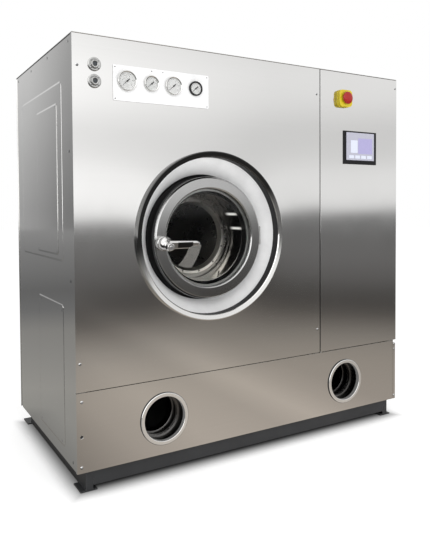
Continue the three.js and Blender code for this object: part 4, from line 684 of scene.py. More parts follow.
def beaded_wall(radius, start, length, beads, rise, half, wall):
    """Outline of a rolled neck: a straight wall whose inside swells inwards by rise (1 + cos) / 2 at each
    bead."""
    along = np.linspace(0, length, 121)
    swell = sum(np.where(abs(along - bead) < half, rise * 0.5 * (1 + np.cos(np.pi * (along - bead) / half)),
                         0)
                for bead in beads)
    inner = np.stack([radius - swell, start + along], axis=1)
    outer = np.array([[radius + wall, start + length], [radius + wall, start]])
    return np.concatenate([inner, outer])


for side in ("left", "right"):
    eased_solid("solvent_tank_" + side, TANK_EASING, "mill_steel", mill_steel)
    port_centre, port_outer, port_front, port_back = middle("port_ring_" + side)
    port_inner = port_outer - PORT_WIDTH
    port_shoulder = port_outer - PORT_SHOULDER
    ring_outline = [[port_inner, port_back], [port_inner, port_front + 1.4 * MM],
                    [port_inner + 1.6 * MM, port_front], [port_outer - 1.8 * MM, port_front],
                    [port_outer, port_front + 1.6 * MM], [port_outer, PANEL_SEAT],
                    [port_shoulder, PANEL_SEAT], [port_shoulder, port_back]]
    turned_piece("port_ring_" + side + "_turned", ring_outline, PORT_RING_EASING, port_centre, "cabinet",
                 "polished_steel", port_steel, "port_ring_" + side)
    # Painted shade: a thin black rubber ring just round each port ring stands for the shadow on the panel
    # beside its proud edge.
    dark_ring_outline = [[port_outer - 0.4 * MM, depth(-0.2 * MM)], [port_outer + 1.4 * MM, depth(-0.2 * MM)],
                    [port_outer + 1.4 * MM, port_front + 2.6 * MM],
                    [port_outer - 0.4 * MM, port_front + 2.0 * MM]]
    turned_piece("port_shadow_ring_" + side, dark_ring_outline, 0.3 * MM, port_centre, "cabinet", "rubber", rubber)
    neck_outline = beaded_wall(NECK_RADIUS, port_back + SUNK, NECK_DEPTH, BEAD_PLACES, BEAD_RISE, BEAD_HALF,
                               NECK_WALL * 0.3)
    neck = skin("port_neck_" + side, turned(neck_outline, port_centre))
    dress(neck, "cabinet", "mill_steel", neck_shade_steel)


# ---------------------------------------------------------------- still and pump
# The distillation still is a welded vessel behind the control door, the solvent pump a painted casting.
# Both keep the shapes of their solids, with eased edges.
MOTOR_GREY = (0.16, 0.20, 0.24, 1)
MOTOR_RUBBED = (0.35, 0.37, 0.38, 1)
motor_coat = coated("motor_coat", MOTOR_GREY, MOTOR_RUBBED, 0.4, 300.0, 0.0001)
eased_solid("distillation_still", TANK_EASING, "mill_steel", mill_steel)
eased_solid("solvent_pump", TANK_EASING, "motor_paint", motor_coat)


# ---------------------------------------------------------------- tub, drum and drive
# The fixed tub is a front plate with a polished throat and a rolled shell on two saddles. The drum turns
# in a bearing housing at its back, driven by a motor through a belt.
THROAT_TONE = (0.62, 0.60, 0.565, 1)
# DRUM_TONE is darker than a bare drum sheet: the steel's own colour with painted shade for the dim inside of
# the drum.
DRUM_TONE = (0.34, 0.33, 0.315, 1)
MOUTH_TONE = (0.80, 0.77, 0.72, 1)
DRUM_WALL = 3 * MM
DRUM_MOUTH = 163.8 * MM
DRUM_SHAFT = 35 * MM
SHAFT_END = 864 * MM
LIFTER_ROOT = 70 * MM
LIFTER_TOP = 26 * MM
LIFTER_HEIGHT = 60 * MM
LIFTER_FOOT = 4 * MM
LIFTER_EASING = 9 * MM
LIFTER_ANGLES = (-90, 30, 150)
HOLE_PITCH = 9 * MM
HOLE_RADIUS = 2.2 * MM
HOLE_DEPTH = 0.0006
DRUM_MARKS = 9.0
RIVETS = 12
door_centre = middle("door_ring")[0]


def perforation_group():
    """Mask of a staggered field of round holes on a flat map: the nearer of two square fields of dots, one
    set
    half a pitch aside of the other."""
    wanted = {"Map": ("Vector", (0, 0, 0)), "Pitch": ("Float", HOLE_PITCH), "Radius": ("Float", HOLE_RADIUS)}
    tree, given, out = shader_group("perforations", wanted, {"Mask": "Float"})
    tall = maths(tree, "MULTIPLY", given["Pitch"], math.sqrt(3))
    cell = add(tree, "CombineXYZ", {0: given["Pitch"], 1: tall, 2: 1.0}).outputs[0]
    masks = []
    for shift in (0.0, 0.5):
        share = vector_maths(tree, "ADD", vector_maths(tree, "DIVIDE", given["Map"], cell),
                             (shift, shift, 0))
        local = vector_maths(tree, "SUBTRACT", vector_maths(tree, "FRACTION", share), (0.5, 0.5, 0))
        flat = vector_maths(tree, "MULTIPLY", vector_maths(tree, "MULTIPLY", local, cell), (1, 1, 0))
        masks.append(maths(tree, "LESS_THAN", vector_maths(tree, "LENGTH", flat), given["Radius"]))
    tree.links.new(maths(tree, "MAXIMUM", *masks), out["Mask"])
    return tree


perforations = perforation_group()


def perforated_steel(name, tone, roughness, centre, glow=0.0):
    """Punched drum sheet: holes on a map of arc length and depth, dark and sunk in a satin sheet."""
    material, tree, shader, place = finish(name)
    local = from_point(tree, place, centre)
    x, y, z = parts(tree, local)
    reach = vector_maths(tree, "LENGTH", vector_maths(tree, "MULTIPLY", local, (1, 0, 1)))
    arc = maths(tree, "MULTIPLY_ADD", maths(tree, "ARCTAN2", z, x), 0.4, reach)
    sheet_map = add(tree, "CombineXYZ", {0: arc, 1: y, 2: 0.0}).outputs[0]
    holes = grouped(tree, perforations, {"Map": sheet_map})["Mask"]
    marks = soft_marks(tree, place, DRUM_MARKS)
    punched = mixed(tree, holes, mixed(tree, marks, toned(tone, 0.86), tone), NEAR_BLACK)
    feed(tree, shader, {"Base Color": punched, "Emission Color": punched, "Emission Strength": glow,
                        "Roughness": maths(tree, "MULTIPLY_ADD", marks, 0.08, roughness),
                        "Normal": relief_normal(tree, holes, -HOLE_DEPTH), "Metallic": 1.0})
    return material


STREAK_HEIGHTS = (101 * MM, 35 * MM)
STREAK_HALF = 9 * MM
STREAK_ENDS = (depth(40 * MM), depth(165 * MM))
STREAK_FADE = 45 * MM
STREAK_GLOW = 9.0
THROAT_SHADES = (-0.17, -0.06, 1.0, 0.13)
MOUTH_SHADES = (-0.11, 0.08, 1.0, 0.3)


def throat_shade(tree, place):
    """Painted reflection: the colour darkens from below to above, for the dark room that the upper throat
    mirrors.
    """
    height = parts(tree, from_point(tree, place, door_centre))[2]
    return stepped(tree, height, *THROAT_SHADES)


def throat_glow(tree, place):
    """Painted highlight: two soft bright lines of the throat's own light along the right-hand wall, for the
    room's lamps mirrored where the throat faces them.
    """
    x, y, z = parts(tree, from_point(tree, place, door_centre))
    start, end = STREAK_ENDS
    near = maths(tree, "MULTIPLY", stepped(tree, y, start, start + STREAK_FADE),
                 stepped(tree, y, end - STREAK_FADE, end, 1.0, 0.0))
    aside = [maths(tree, "ABSOLUTE", maths(tree, "SUBTRACT", z, height)) for height in STREAK_HEIGHTS]
    lines = [stepped(tree, gap, 0.0, STREAK_HALF, STREAK_GLOW, 0.0) for gap in aside]
    both = maths(tree, "MULTIPLY", maths(tree, "MAXIMUM", *lines), stepped(tree, x, 0.0, 0.1))
    return maths(tree, "MULTIPLY", both, near)


def mouth_shade(tree, place):
    """Painted reflection: darker towards the top, as if the ring mirrored a darker room above."""
    height = parts(tree, from_point(tree, place, door_centre))[2]
    return stepped(tree, height, *MOUTH_SHADES)


throat_steel = steel("throat_steel", THROAT_TONE, 0.09, (6, 500, 6), 0.000001, line_share=0.05,
                     shade=throat_shade,
                     glow=throat_glow)
mouth_steel = steel("mouth_steel", MOUTH_TONE, 0.27, (40, 40, 40), 0.000002, line_share=0.05,
                    shade=mouth_shade)
drum_sheet = perforated_steel("drum_sheet", DRUM_TONE, 0.24, door_centre)
lifter_sheet = perforated_steel("lifter_sheet", MOUTH_TONE, 0.3, door_centre)

tub_outer, tub_near, tub_far = middle("tub_front")[1:]
throat_inner, throat_outer = 192 * MM, 195 * MM
web_near, web_far = depth(100 * MM), depth(104 * MM)
throat_outline = [[throat_inner, tub_near], [throat_outer, tub_near], [throat_outer, web_near],
                  [tub_outer, web_near], [tub_outer, web_far], [throat_outer, web_far],
                  [throat_outer, tub_far], [throat_inner, tub_far]]
turned_piece("tub_throat", throat_outline, 1.3 * MM, door_centre, "cabinet", "polished_steel", throat_steel,
             "tub_front")
eased_solids(SHEET_EASING, "mill_steel", mill_steel, "tub_shell", "tub_cradle")
eased_solid("bearing_housing", TANK_EASING, "base_paint", base_coat)
eased_solid("drum_pulley", SHEET_EASING, "mill_steel", mill_steel)
eased_solid("drive_motor", TANK_EASING, "motor_paint", motor_coat)
eased_solid("motor_pulley", SHEET_EASING, "mill_steel", mill_steel)
eased_solid("drive_belt", SHEET_EASING, "rubber", rubber)

drum_outer = 400 * MM
drum_near, drum_far = depth(190 * MM), depth(620 * MM)
shell_outline = [[DRUM_MOUTH, drum_near], [drum_outer, drum_near], [drum_outer, drum_far],
                 [DRUM_SHAFT, drum_far],
                 [DRUM_SHAFT, depth(SHAFT_END)], [0, depth(SHAFT_END)], [0, drum_far - DRUM_WALL],
                 [drum_outer - DRUM_WALL, drum_far - DRUM_WALL],
                 [drum_outer - DRUM_WALL, drum_near + DRUM_WALL],
                 [DRUM_MOUTH, drum_near + DRUM_WALL]]
turned_piece("drum_shell", shell_outline, 1.2 * MM, door_centre, "drum", "drum_steel", drum_sheet, "drum")


def lifter(angle, near, far):
    """Closed grid of one lifter: its trapezium section, eased, carried from near to far, with both ends
    capped.
    A section point (s, r) lies at distance r from the drum's axis towards the lifter and s beside it."""
    root = drum_outer - DRUM_WALL - 0.4 * MM
    foot, top = LIFTER_FOOT - root, LIFTER_HEIGHT - root
    section = eased_freely([[-LIFTER_ROOT / 2, foot], [LIFTER_ROOT / 2, foot], [LIFTER_TOP / 2, top],
                            [-LIFTER_TOP / 2, top]], LIFTER_EASING)
    turn = math.radians(angle)
    towards = np.array([math.cos(turn), 0, math.sin(turn)])
    beside = np.array([-math.sin(turn), 0, math.cos(turn)])
    return door_centre + prism(section[:, :1] * beside - section[:, 1:] * towards, near, far)


lifters = skin("drum_lifters", np.stack([lifter(angle, drum_near + 6 * MM, drum_far - 4 * MM)
                                         for angle in LIFTER_ANGLES]), closed_rows=False)
dress(lifters, "drum", "drum_steel", lifter_sheet)

PLATE_ANGLES = (-36, 84, 204)
PLATE_HALF_ANGLE = 22
PLATE_INNER, PLATE_OUTER = 232 * MM, 300 * MM
PLATE_RISE = 3 * MM
PLATE_GLOW = 0.36


def back_plate(angle):
    """Closed grid of an arc-shaped plate on the drum's back: its edge runs round the outer arc and back."""
    turn = np.radians(np.linspace(angle - PLATE_HALF_ANGLE, angle + PLATE_HALF_ANGLE, 13))
    arc = np.stack([np.cos(turn), 0 * turn, np.sin(turn)], axis=1)
    edge = np.concatenate([arc * PLATE_OUTER, arc[::-1] * PLATE_INNER])
    back = drum_far - DRUM_WALL + SUNK
    return door_centre + prism(edge, back, back - PLATE_RISE)


# Painted light: the back plates give PLATE_GLOW of their own light, which lightens the drum's dim back.
plate_sheet = perforated_steel("plate_sheet", MOUTH_TONE, 0.3, door_centre, PLATE_GLOW)
plates = skin("drum_back_plates", np.stack([back_plate(angle) for angle in PLATE_ANGLES]), closed_rows=False)
dress(plates, "drum", "drum_steel", plate_sheet)

mouth_outer, mouth_near, mouth_far = middle("drum_mouth_ring")[1:]
mouth_outline = [[mouth_outer - 12 * MM, mouth_near], [mouth_outer, mouth_near],
                 [mouth_outer, mouth_near + 5.7 * MM],
                 [mouth_outer - 8.5 * MM, mouth_near + 5.7 * MM], [mouth_outer - 23 * MM, mouth_far],
                 [mouth_outer - 26 * MM, mouth_far - 2 * MM]]
turned_piece("drum_mouth_turned", mouth_outline, 1.0 * MM, door_centre, "drum", "polished_steel",
             mouth_steel,
             "drum_mouth_ring")


def round_row(count, radius, centre, start=0.0):
    """Centres of count places spaced evenly round a circle in the door's plane."""
    angle = np.radians(start) + np.arange(count) * 2 * math.pi / count
    return centre + radius * np.stack([np.cos(angle), 0 * angle, np.sin(angle)], axis=1)


def domes(places, radius, height, base, axis="y", out=-1, sides=16):
    """Grids of domed heads: radius R sqrt(1 - h^2) at height h R, sunk a little below the face they sit
    on."""
    share = np.sin(np.linspace(0, math.pi / 2, 6))
    outline = np.concatenate([[[0, -0.4 * height], [radius, -0.4 * height]],
                              np.stack([radius * np.sqrt(1 - share ** 2), height * share], axis=1)])
    outline = outline * (1, out)
    return np.stack([turned(outline, np.asarray(place) + AXES[axis][2] * base, axis,
                            sides) for place in places])


rivet_places = round_row(RIVETS, mouth_outer - 8 * MM, door_centre, 12)
rivets = skin("drum_mouth_rivets", domes(rivet_places, 4.6 * MM, 2.2 * MM, mouth_near))
dress(rivets, "drum", "polished_steel", neck_shade_steel)


# ---------------------------------------------------------------- cabinet panels
# Panels of stainless sheet, brushed from side to side and folded at their edges. The front panel is drawn
# a little out of flat round the door opening, and the control door hangs a trace out of plumb.
STAINLESS_TONE = (0.75, 0.745, 0.735, 1)
STAINLESS_ROUGHNESS = 0.078
BRUSH_ALONG = (3, 3, 800)
BRUSH_DEEP = (3, 800, 3)
LINE_DEPTH = 0.0000012
PANEL_EASING = 2.0 * MM
STRAIN_HEIGHT = 2.2 * MM
STRAIN_REACH = 0.11
DOOR_LEAN = 0.0055
trim_centre, trim_outer, trim_near, trim_far = middle("door_trim_ring")


def opening_strain(tree, place):
    """Height of the sheet near the door: STRAIN_HEIGHT exp(-(distance from the trim ring) /
    STRAIN_REACH)."""
    beside = vector_maths(tree, "MULTIPLY", from_point(tree, place, trim_centre), (1, 0, 1))
    past_trim = maths(tree, "SUBTRACT", vector_maths(tree, "LENGTH", beside), trim_outer)
    falling = maths(tree, "EXPONENT", maths(tree, "DIVIDE", past_trim, -STRAIN_REACH))
    return maths(tree, "MULTIPLY", falling, STRAIN_HEIGHT)


def door_lean(tree, place):
    """Height that grows with the place's height, as on a door that leans back."""
    return maths(tree, "MULTIPLY", parts(tree, place)[2], -DOOR_LEAN)


SIDE_OUTLINES = ((155, 830, 907, 1630, 25, 1.6), (220, 540, 930, 1550, 12, 1.8),
                 (164, 543, 143, 726, 12, 2.2))
OUTLINE_WIDTH = 9 * MM
CORNER_LINE = (9 * MM, 20 * MM)


def side_relief(tree, place):
    """Height of the side's pressing and covers. Past a rounded rectangle of half size h and corner r the
    distance
    is |max(|p| - h + r, 0)| - r; the height falls by a smooth step over OUTLINE_WIDTH."""
    total = 0.0
    for front, back, bottom, top, corner, rise in SIDE_OUTLINES:
        centre = (0, FRONT_DEPTH + (front + back) / 2 * MM, (bottom + top) / 2 * MM)
        half = (0, ((back - front) / 2 - corner) * MM, ((top - bottom) / 2 - corner) * MM)
        beside = vector_maths(tree, "MULTIPLY", past_box(tree, place, centre, half), (0, 1, 1))
        past = vector_maths(tree, "MAXIMUM", beside, (0, 0, 0))
        away = maths(tree, "SUBTRACT", vector_maths(tree, "LENGTH", past), corner * MM)
        total = maths(tree, "ADD",
                      stepped(tree, away, -OUTLINE_WIDTH / 2, OUTLINE_WIDTH / 2, rise * MM, 0.0), total)
    return total


def corner_shade(tree, place):
    """Painted shade: a dark line down the side near its folded front edge, for the shadowed seam between the
    side and the front panel.
    """
    behind = maths(tree, "SUBTRACT", parts(tree, place)[1], FRONT_DEPTH)
    near, far = CORNER_LINE
    inside = maths(tree, "MULTIPLY", stepped(tree, behind, near - 2 * MM, near + 1 * MM),
                   stepped(tree, behind, far - 1 * MM, far + 2 * MM, 1.0, 0.0))
    return maths(tree, "MULTIPLY_ADD", inside, -0.75, 1.0)


def stainless(name, stretch=BRUSH_ALONG, **extras):
    """The cabinet's stainless sheet, with what one panel adds."""
    return steel(name, STAINLESS_TONE, STAINLESS_ROUGHNESS, stretch, LINE_DEPTH, **extras)


side_steel = stainless("side_steel", strain=side_relief, shade=corner_shade)
brushed_steel = stainless("brushed_steel")
front_steel = stainless("front_steel", strain=opening_strain)
leaning_steel = stainless("leaning_steel", strain=door_lean)
top_steel = stainless("top_steel", BRUSH_DEEP)
eased_solid("front_panel", PANEL_EASING, "brushed_steel", front_steel)
eased_solid("control_door", PANEL_EASING, "brushed_steel", leaning_steel)
eased_solid("top_cover", PANEL_EASING, "brushed_steel", top_steel)
eased_solid("lower_panel", PANEL_EASING, "brushed_steel", brushed_steel)
eased_solids(SHEET_EASING, "brushed_steel", brushed_steel, "right_side_panel", "back_panel")
eased_solids(SHEET_EASING, "brushed_steel", side_steel, "left_side_panel", "left_upper_cover",
             "left_lower_cover")


# ---------------------------------------------------------------- panel screws
# Zinc-plated button-head screws hold the panels to the posts. Places are given across and up each face.
# Those on the left side lie nearly flush, so that the machine keeps within its width.
SCREW_RADIUS = 6 * MM
SCREW_RISE = 2.6 * MM
SOCKET_ACROSS = 2.9 * MM
SOCKET_DEPTH = 1.5 * MM
SCREW_SIDES = 24
SKIRT = 0.4 * MM
HEAD_SHADES = (-0.3, 0.25, 0.1, 1.0)
FLUSH = 0.12
ZINC_TONE = (0.66, 0.66, 0.67, 1)
PANEL_LEFT = cad_low.x


def head_shade(tree, place):
    """Painted reflection: bright where a head faces up and dark where it faces down."""
    slope = parts(tree, add(tree, "NewGeometry").outputs["Normal"])[2]
    return stepped(tree, slope, *HEAD_SHADES)


zinc = steel("zinc", ZINC_TONE, 0.16, (90, 90, 90), 0.000002, line_share=0.1, shade=head_shade)


def button_heads(places, axis, out, flatness=1.0):
    """Grids of screw heads with hexagon sockets. From the middle out a head is a flat socket floor, a wall
    up to
    the dome at the hexagon, the dome, whose edge is a circle, and a skirt sunk into the panel. flatness
    scales all
    heights, so that heads on the outermost faces lie nearly flush."""
    angle = np.linspace(0, 2 * math.pi, SCREW_SIDES, endpoint=False)
    hexagon = SOCKET_ACROSS / np.cos((angle + math.pi / 6) % (math.pi / 3) - math.pi / 6)
    dome = SCREW_RISE * (1 - (hexagon / SCREW_RADIUS) ** 2)
    rings = [(0 * angle, dome - SOCKET_DEPTH), (hexagon, dome - SOCKET_DEPTH), (hexagon * 1.04, dome)]
    for share in (0.35, 0.7, 0.92, 1.0):
        radius = hexagon + (SCREW_RADIUS - hexagon) * share
        rings.append((radius, SCREW_RISE * (1 - (radius / SCREW_RADIUS) ** 2)))
    rings.append((0 * angle + SCREW_RADIUS, 0 * angle - SKIRT))
    rings.append((0 * angle, 0 * angle - SKIRT))
    across, up, along = AXES[axis]
    head = np.stack([radius[:, None] * (np.cos(angle)[:, None] * across + np.sin(angle)[:, None] * up)
                     + out * flatness * height[:, None] * along for radius, height in rings])
    return np.stack([head + np.asarray(place) for place in places])


def on_face(node, axis, out, spots):
    """Points on a node's outer face at (across, up) spots in millimetres from the machine's left, front and
    floor."""
    low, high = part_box(node)
    face = {("y", -1): low.y, ("y", 1): high.y, ("x", -1): low.x, ("x", 1): high.x}[(axis, out)]
    if axis == "y":
        return [(PANEL_LEFT + across * MM, face, up * MM) for across, up in spots]
    return [(face, FRONT_DEPTH + across * MM, up * MM) for across, up in spots]


SCREW_GROUPS = {
    "front_panel": ("y", -1, ((20, 1666), (1201, 1664), (17, 518), (1206, 522))),
    "lower_panel": ("y", -1, ((22, 369), (19, 113))),
    "control_door": ("y", -1, ((1739, 1742),)),
    "right_side_panel": ("y", -1, ((1739, 385), (1739, 358), (1738, 108))),
    "left_side_panel": ("x", -1, ((58, 1766), (357, 1766), (638, 1766), (899, 1766), (60, 1342), (60, 834),
                                  (60, 115))),
    "left_upper_cover": ("x", -1, ((248, 1540), (528, 940), (234, 940))),
    "left_lower_cover": ("x", -1, ((503, 712), (179, 702), (520, 157), (200, 157))),
    "back_panel": ("y", 1,
                   tuple((across, up) for across in (30, 590, 1150, 1720) for up in (110, 940, 1766))),
}
for panel, (axis, out, spots) in SCREW_GROUPS.items():
    heads = skin(panel + "_screws", button_heads(on_face(panel, axis, out, spots), axis, out,
                                                 FLUSH if axis == "x" else 1.0), closed_rows=False)
    dress(heads, frame["nodes"][panel]["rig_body"], "polished_steel", zinc)


# ---------------------------------------------------------------- door surround
# A white enamelled cone leads in to the door, edged by a polished trim ring with a funnel-shaped face, whose
# inner wall is lined with black rubber. The trim is a little off the door's axis, and the cone leans to it.
WHITE_ENAMEL = (0.86, 0.86, 0.86, 1)
ENAMEL_RUBBED = (0.76, 0.76, 0.76, 1)
TRIM_SHADE_WAY = (-0.35, 0.9)
TRIM_SHADES = (-0.02, 0.1, 1.0, 0.12)
enamel = coated("white_enamel", WHITE_ENAMEL, ENAMEL_RUBBED, 0.30, 220.0, 0.00003)


def trim_shade(tree, place):
    """Painted reflection: darker round the upper left, where the ring would mirror the room's dark far end.
    """
    x, _, z = parts(tree, from_point(tree, place, trim_centre))
    across, up = TRIM_SHADE_WAY
    upper_left = maths(tree, "MULTIPLY_ADD", z, up, maths(tree, "MULTIPLY", x, across))
    return stepped(tree, upper_left, *TRIM_SHADES)


trim_steel = steel("trim_steel", POLISHED_TONE, 0.07, (60, 60, 60), 0.0000004, line_share=0.03,
                   shade=trim_shade)
trim_inner = trim_outer - 24 * MM
trim_outline = [[trim_inner, trim_far], [trim_inner, trim_near + 7 * MM],
                [trim_inner + 3 * MM, trim_near + 2.6 * MM],
                [trim_outer - 3 * MM, trim_near], [trim_outer, trim_near + 3 * MM], [trim_outer, PANEL_SEAT],
                [trim_inner + 3 * MM, PANEL_SEAT], [trim_inner + 3 * MM, trim_far]]
turned_piece("door_trim_turned", trim_outline, 1.2 * MM, trim_centre, "cabinet", "polished_steel",
             trim_steel,
             "door_trim_ring")

cone_inner, cone_wall = 267 * MM, 4 * MM
cone_outer = trim_inner + 3 * MM
cone_near, cone_foot, cone_far = depth(27.3 * MM), depth(96 * MM), depth(99.7 * MM)
cone_outline = [[cone_outer - 3 * MM, cone_near], [cone_inner, cone_foot], [cone_inner, cone_far],
                [cone_inner + cone_wall, cone_far], [cone_outer, cone_near + cone_wall],
                [cone_outer, cone_near]]


def leaning_piece(name, outline, easing, slot, material, *nodes):
    """A turned piece of the surround that leans from the door's axis to the trim ring's."""
    upright = turned(eased(outline, easing), door_centre)
    piece = skin(name, leaning(upright, cone_foot, cone_near, trim_centre - door_centre))
    dress(piece, "cabinet", slot, material, *nodes)


leaning_piece("door_surround_cone", cone_outline, 1.0 * MM, "white_enamel", enamel, "door_surround")

seal_reach = 11 * MM
seal_slope = (cone_foot - cone_near) / (cone_outer - 3 * MM - cone_inner)
seal_inner, seal_outer = cone_inner, cone_inner + seal_reach
seal_foot, seal_top = cone_foot, cone_foot - seal_slope * seal_reach
dark_ring_outline = [[seal_inner - 0.2 * MM, seal_foot - 0.6 * MM], [seal_outer, seal_top - 0.6 * MM],
                [seal_outer + 1 * MM, seal_top + 1.4 * MM], [seal_inner + 1 * MM, seal_foot + 1.4 * MM]]
leaning_piece("surround_seal", dark_ring_outline, 0.5 * MM, "rubber", rubber)

lining_outline = [[trim_inner - 1.1 * MM, trim_near + 8.5 * MM],
                  [trim_inner + 0.3 * MM, trim_near + 7.5 * MM],
                  [trim_inner + 0.3 * MM, trim_far], [trim_inner - 1.1 * MM, trim_far]]
turned_piece("surround_lining", lining_outline, 0.5 * MM, trim_centre, "cabinet", "rubber", rubber)


# ---------------------------------------------------------------- mouth gasket
# A moulded bellows of black rubber joins the surround to the tub and meets the shut door at its lip.
# It is turned, with one fold between its foot and its lip.
gasket_inner, gasket_outer = 195.3 * MM, 266.7 * MM
gasket_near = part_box("mouth_gasket")[0].y
gasket_fold = depth(69.5 * MM)
gasket_foot, gasket_back = depth(94.7 * MM), depth(99.7 * MM)
gasket_outline = [[gasket_outer, gasket_back], [gasket_outer, gasket_foot], [226 * MM, gasket_foot],
                  [223.3 * MM, gasket_fold], [230 * MM, gasket_near], [210 * MM, gasket_near],
                  [206.7 * MM, gasket_fold], [210 * MM, gasket_foot], [gasket_inner, gasket_foot],
                  [gasket_inner, gasket_back]]
turned_piece("mouth_gasket_moulded", gasket_outline, 3.5 * MM, door_centre, "cabinet", "rubber", rubber,
             "mouth_gasket")


# ---------------------------------------------------------------- loading door
# A turned stainless ring holds a thick round glass, clamped from behind by a bolted ring. A leaf of the
# clamp ring carries the knuckles of the hinge, on a pin in a bracket fixed to the cabinet. A thin black
# rubber band covers the ring's outer wall.
RING_TONE = (0.45, 0.45, 0.445, 1)
RING_ROUGHNESS = 0.12
GLASS_MARKS = 12.0
ring_steel = steel("ring_steel", RING_TONE, RING_ROUGHNESS, (3, 3, 500), 0.000001)
ring_outer, ring_near, ring_far = middle("door_ring")[1:]
ring_opening = 215 * MM
glass_seat, clamp_seat = ring_opening + 9.3 * MM, ring_opening + 14.3 * MM
ring_outline = [[ring_opening + 4 * MM, ring_near], [ring_outer - 8 * MM, ring_near],
                [ring_outer, ring_near + 8 * MM],
                [ring_outer, ring_far], [clamp_seat, ring_far], [clamp_seat, ring_near + 22 * MM],
                [glass_seat, ring_near + 22 * MM], [glass_seat, ring_near + 10 * MM],
                [ring_opening, ring_near + 10 * MM], [ring_opening, ring_near + 4 * MM]]
turned_piece("door_ring_turned", ring_outline, 1.2 * MM, door_centre, "loading_door", "brushed_steel",
             ring_steel,
             "door_ring")
band_outline = [[ring_outer - 0.3 * MM, ring_near + 10 * MM], [ring_outer + 0.6 * MM, ring_near + 11 * MM],
                [ring_outer + 0.6 * MM, ring_far], [ring_outer - 0.3 * MM, ring_far]]
turned_piece("door_ring_band", band_outline, 0.3 * MM, door_centre, "loading_door", "rubber", rubber)


def clear_glass(name, tint, ior):
    """Clear glass with a faint tint and a few soft wipe marks in its roughness."""
    material, tree, shader, place = finish(name)
    marks = soft_marks(tree, place, GLASS_MARKS)
    feed(tree, shader, {"Base Color": mixed(tree, marks, tint, (1, 1, 1, 1)), "Metallic": 0.0, "IOR": ior,
                        "Roughness": maths(tree, "MULTIPLY", marks, 0.015), "Transmission Weight": 1.0})
    return material


door_pane = clear_glass("door_pane", (0.93, 0.95, 0.94, 1), 1.2)
glass_outer, glass_near, glass_far = middle("door_glass")[1:]
turned_piece("door_glass_pane", rectangle(0, glass_outer, glass_near, glass_far), 1.0 * MM, door_centre,
             "loading_door", "door_glass", door_pane,
             "door_glass")
eased_solids(SHEET_EASING, "mill_steel", mill_steel, "glass_clamp_ring", "door_hinge_bracket")
eased_solid("door_hinge_pin", SHEET_EASING, "polished_steel", polished_steel)


# ---------------------------------------------------------------- door handle
# A turned spindle with a flange, a conical nose and a bolt carries a milled lever across the glass.
# Behind the ring the spindle ends in a cam.
SPINDLE_OFFSET = np.array([-235.4535, 0, -16.0516]) * MM
HANDLE_TONE = (0.78, 0.775, 0.765, 1)
BOSS_DROP = 11 * MM
LEVER_LENGTH = 138.5 * MM
LEVER_DEEP = (48 * MM, 64 * MM)
LEVER_CHAMFER = 7 * MM
LEVER_TIP_RADIUS = 10.5 * MM
LEVER_TIP_MIDDLE = -0.5 * MM
spindle = door_centre + SPINDLE_OFFSET
nose_start, nose_end = depth(-32 * MM), depth(-60 * MM)
HUB_PROFILE = ((0, 13.7), (30, 13.7), (30, -7), (27, -10), (27, -14), (29, -17), (29, -31), (22, -47),
               (18, -60), (16, -68), (15, -75), (0, -75))


def milled_steel(name, shade=None):
    """The handle's milled steel."""
    return steel(name, HANDLE_TONE, 0.11, (90, 90, 90), 0.000001, line_share=0.04, shade=shade)


handle_steel = milled_steel("handle_steel")
hub_outline = [[radius * MM, depth(behind * MM)] for radius, behind in HUB_PROFILE]
hub = skin("handle_hub",
           leaning(turned(eased(hub_outline, 2.2 * MM), spindle, sides=96), nose_start, nose_end,
                                 (0, 0, -BOSS_DROP)))
dress(hub, "handle", "polished_steel", handle_steel, "door_handle")


LEVER_LEAN = 0.09
LEVER_DARK = ((36 * MM, 106 * MM), (-17 * MM, 5 * MM))
LEVER_BLUR = 2 * MM


def lever_shade(tree, place):
    """Painted reflection: a dark field on the lever's front between the hub and the tip, for the dark floor
    that the front mirrors.
    """
    x, _, z = parts(tree, from_point(tree, place, spindle))
    within = [maths(tree, "MULTIPLY", stepped(tree, value, start, start + LEVER_BLUR),
                    stepped(tree, value, end, end + LEVER_BLUR, 1, 0))
              for value, (start, end) in zip((x, z), LEVER_DARK)]
    return maths(tree, "MULTIPLY_ADD", maths(tree, "MULTIPLY", *within), -0.93, 1.0)


lever_steel = milled_steel("lever_steel", lever_shade)


def lever_grid(start, stations, near, far, chamfer, easing):
    """A closed grid of a bar along x. Each station is (distance, upper edge, lower edge). Its section is a
    box
    from near to far with a chamfer along the upper front edge and a front that leans in below. The root
    closes
    on its middle, the tip on its edge."""
    rows = []
    for along, top, bottom in stations:
        cut = min(chamfer, 0.45 * (top - bottom))
        section = eased_freely([[near + LEVER_LEAN * (top - bottom), bottom], [far, bottom], [far, top],
                                [near + cut, top], [near, top - cut]], easing)
        rows.append(np.stack([0 * section[:, 0] + along, section[:, 0], section[:, 1]], axis=1))
    rows.insert(0, 0 * rows[0] + rows[0].mean(axis=0))
    return start + np.stack(rows)


tip_turn = np.radians([0, 25, 45, 60, 75, 90])
lever_stations = [(0, 14 * MM, -20 * MM), (85.5 * MM, 11.3 * MM, -20 * MM),
                  (104.5 * MM, 10.7 * MM, -11 * MM)]
lever_stations += [(LEVER_LENGTH - LEVER_TIP_RADIUS + LEVER_TIP_RADIUS * math.sin(turn),
                    LEVER_TIP_MIDDLE + LEVER_TIP_RADIUS * math.cos(turn),
                    LEVER_TIP_MIDDLE - LEVER_TIP_RADIUS * math.cos(turn)) for turn in tip_turn]
lever = skin("handle_lever",
             lever_grid(spindle, lever_stations, depth(-LEVER_DEEP[1]), depth(-LEVER_DEEP[0]),
                                        LEVER_CHAMFER, 1.6 * MM), closed_rows=False)
dress(lever, "handle", "polished_steel", lever_steel)
lever_bolt = skin("handle_bolt", button_heads([spindle + (0, depth(-75 * MM), -BOSS_DROP)], "y", -1),
                  closed_rows=False)
dress(lever_bolt, "handle", "polished_steel", zinc)


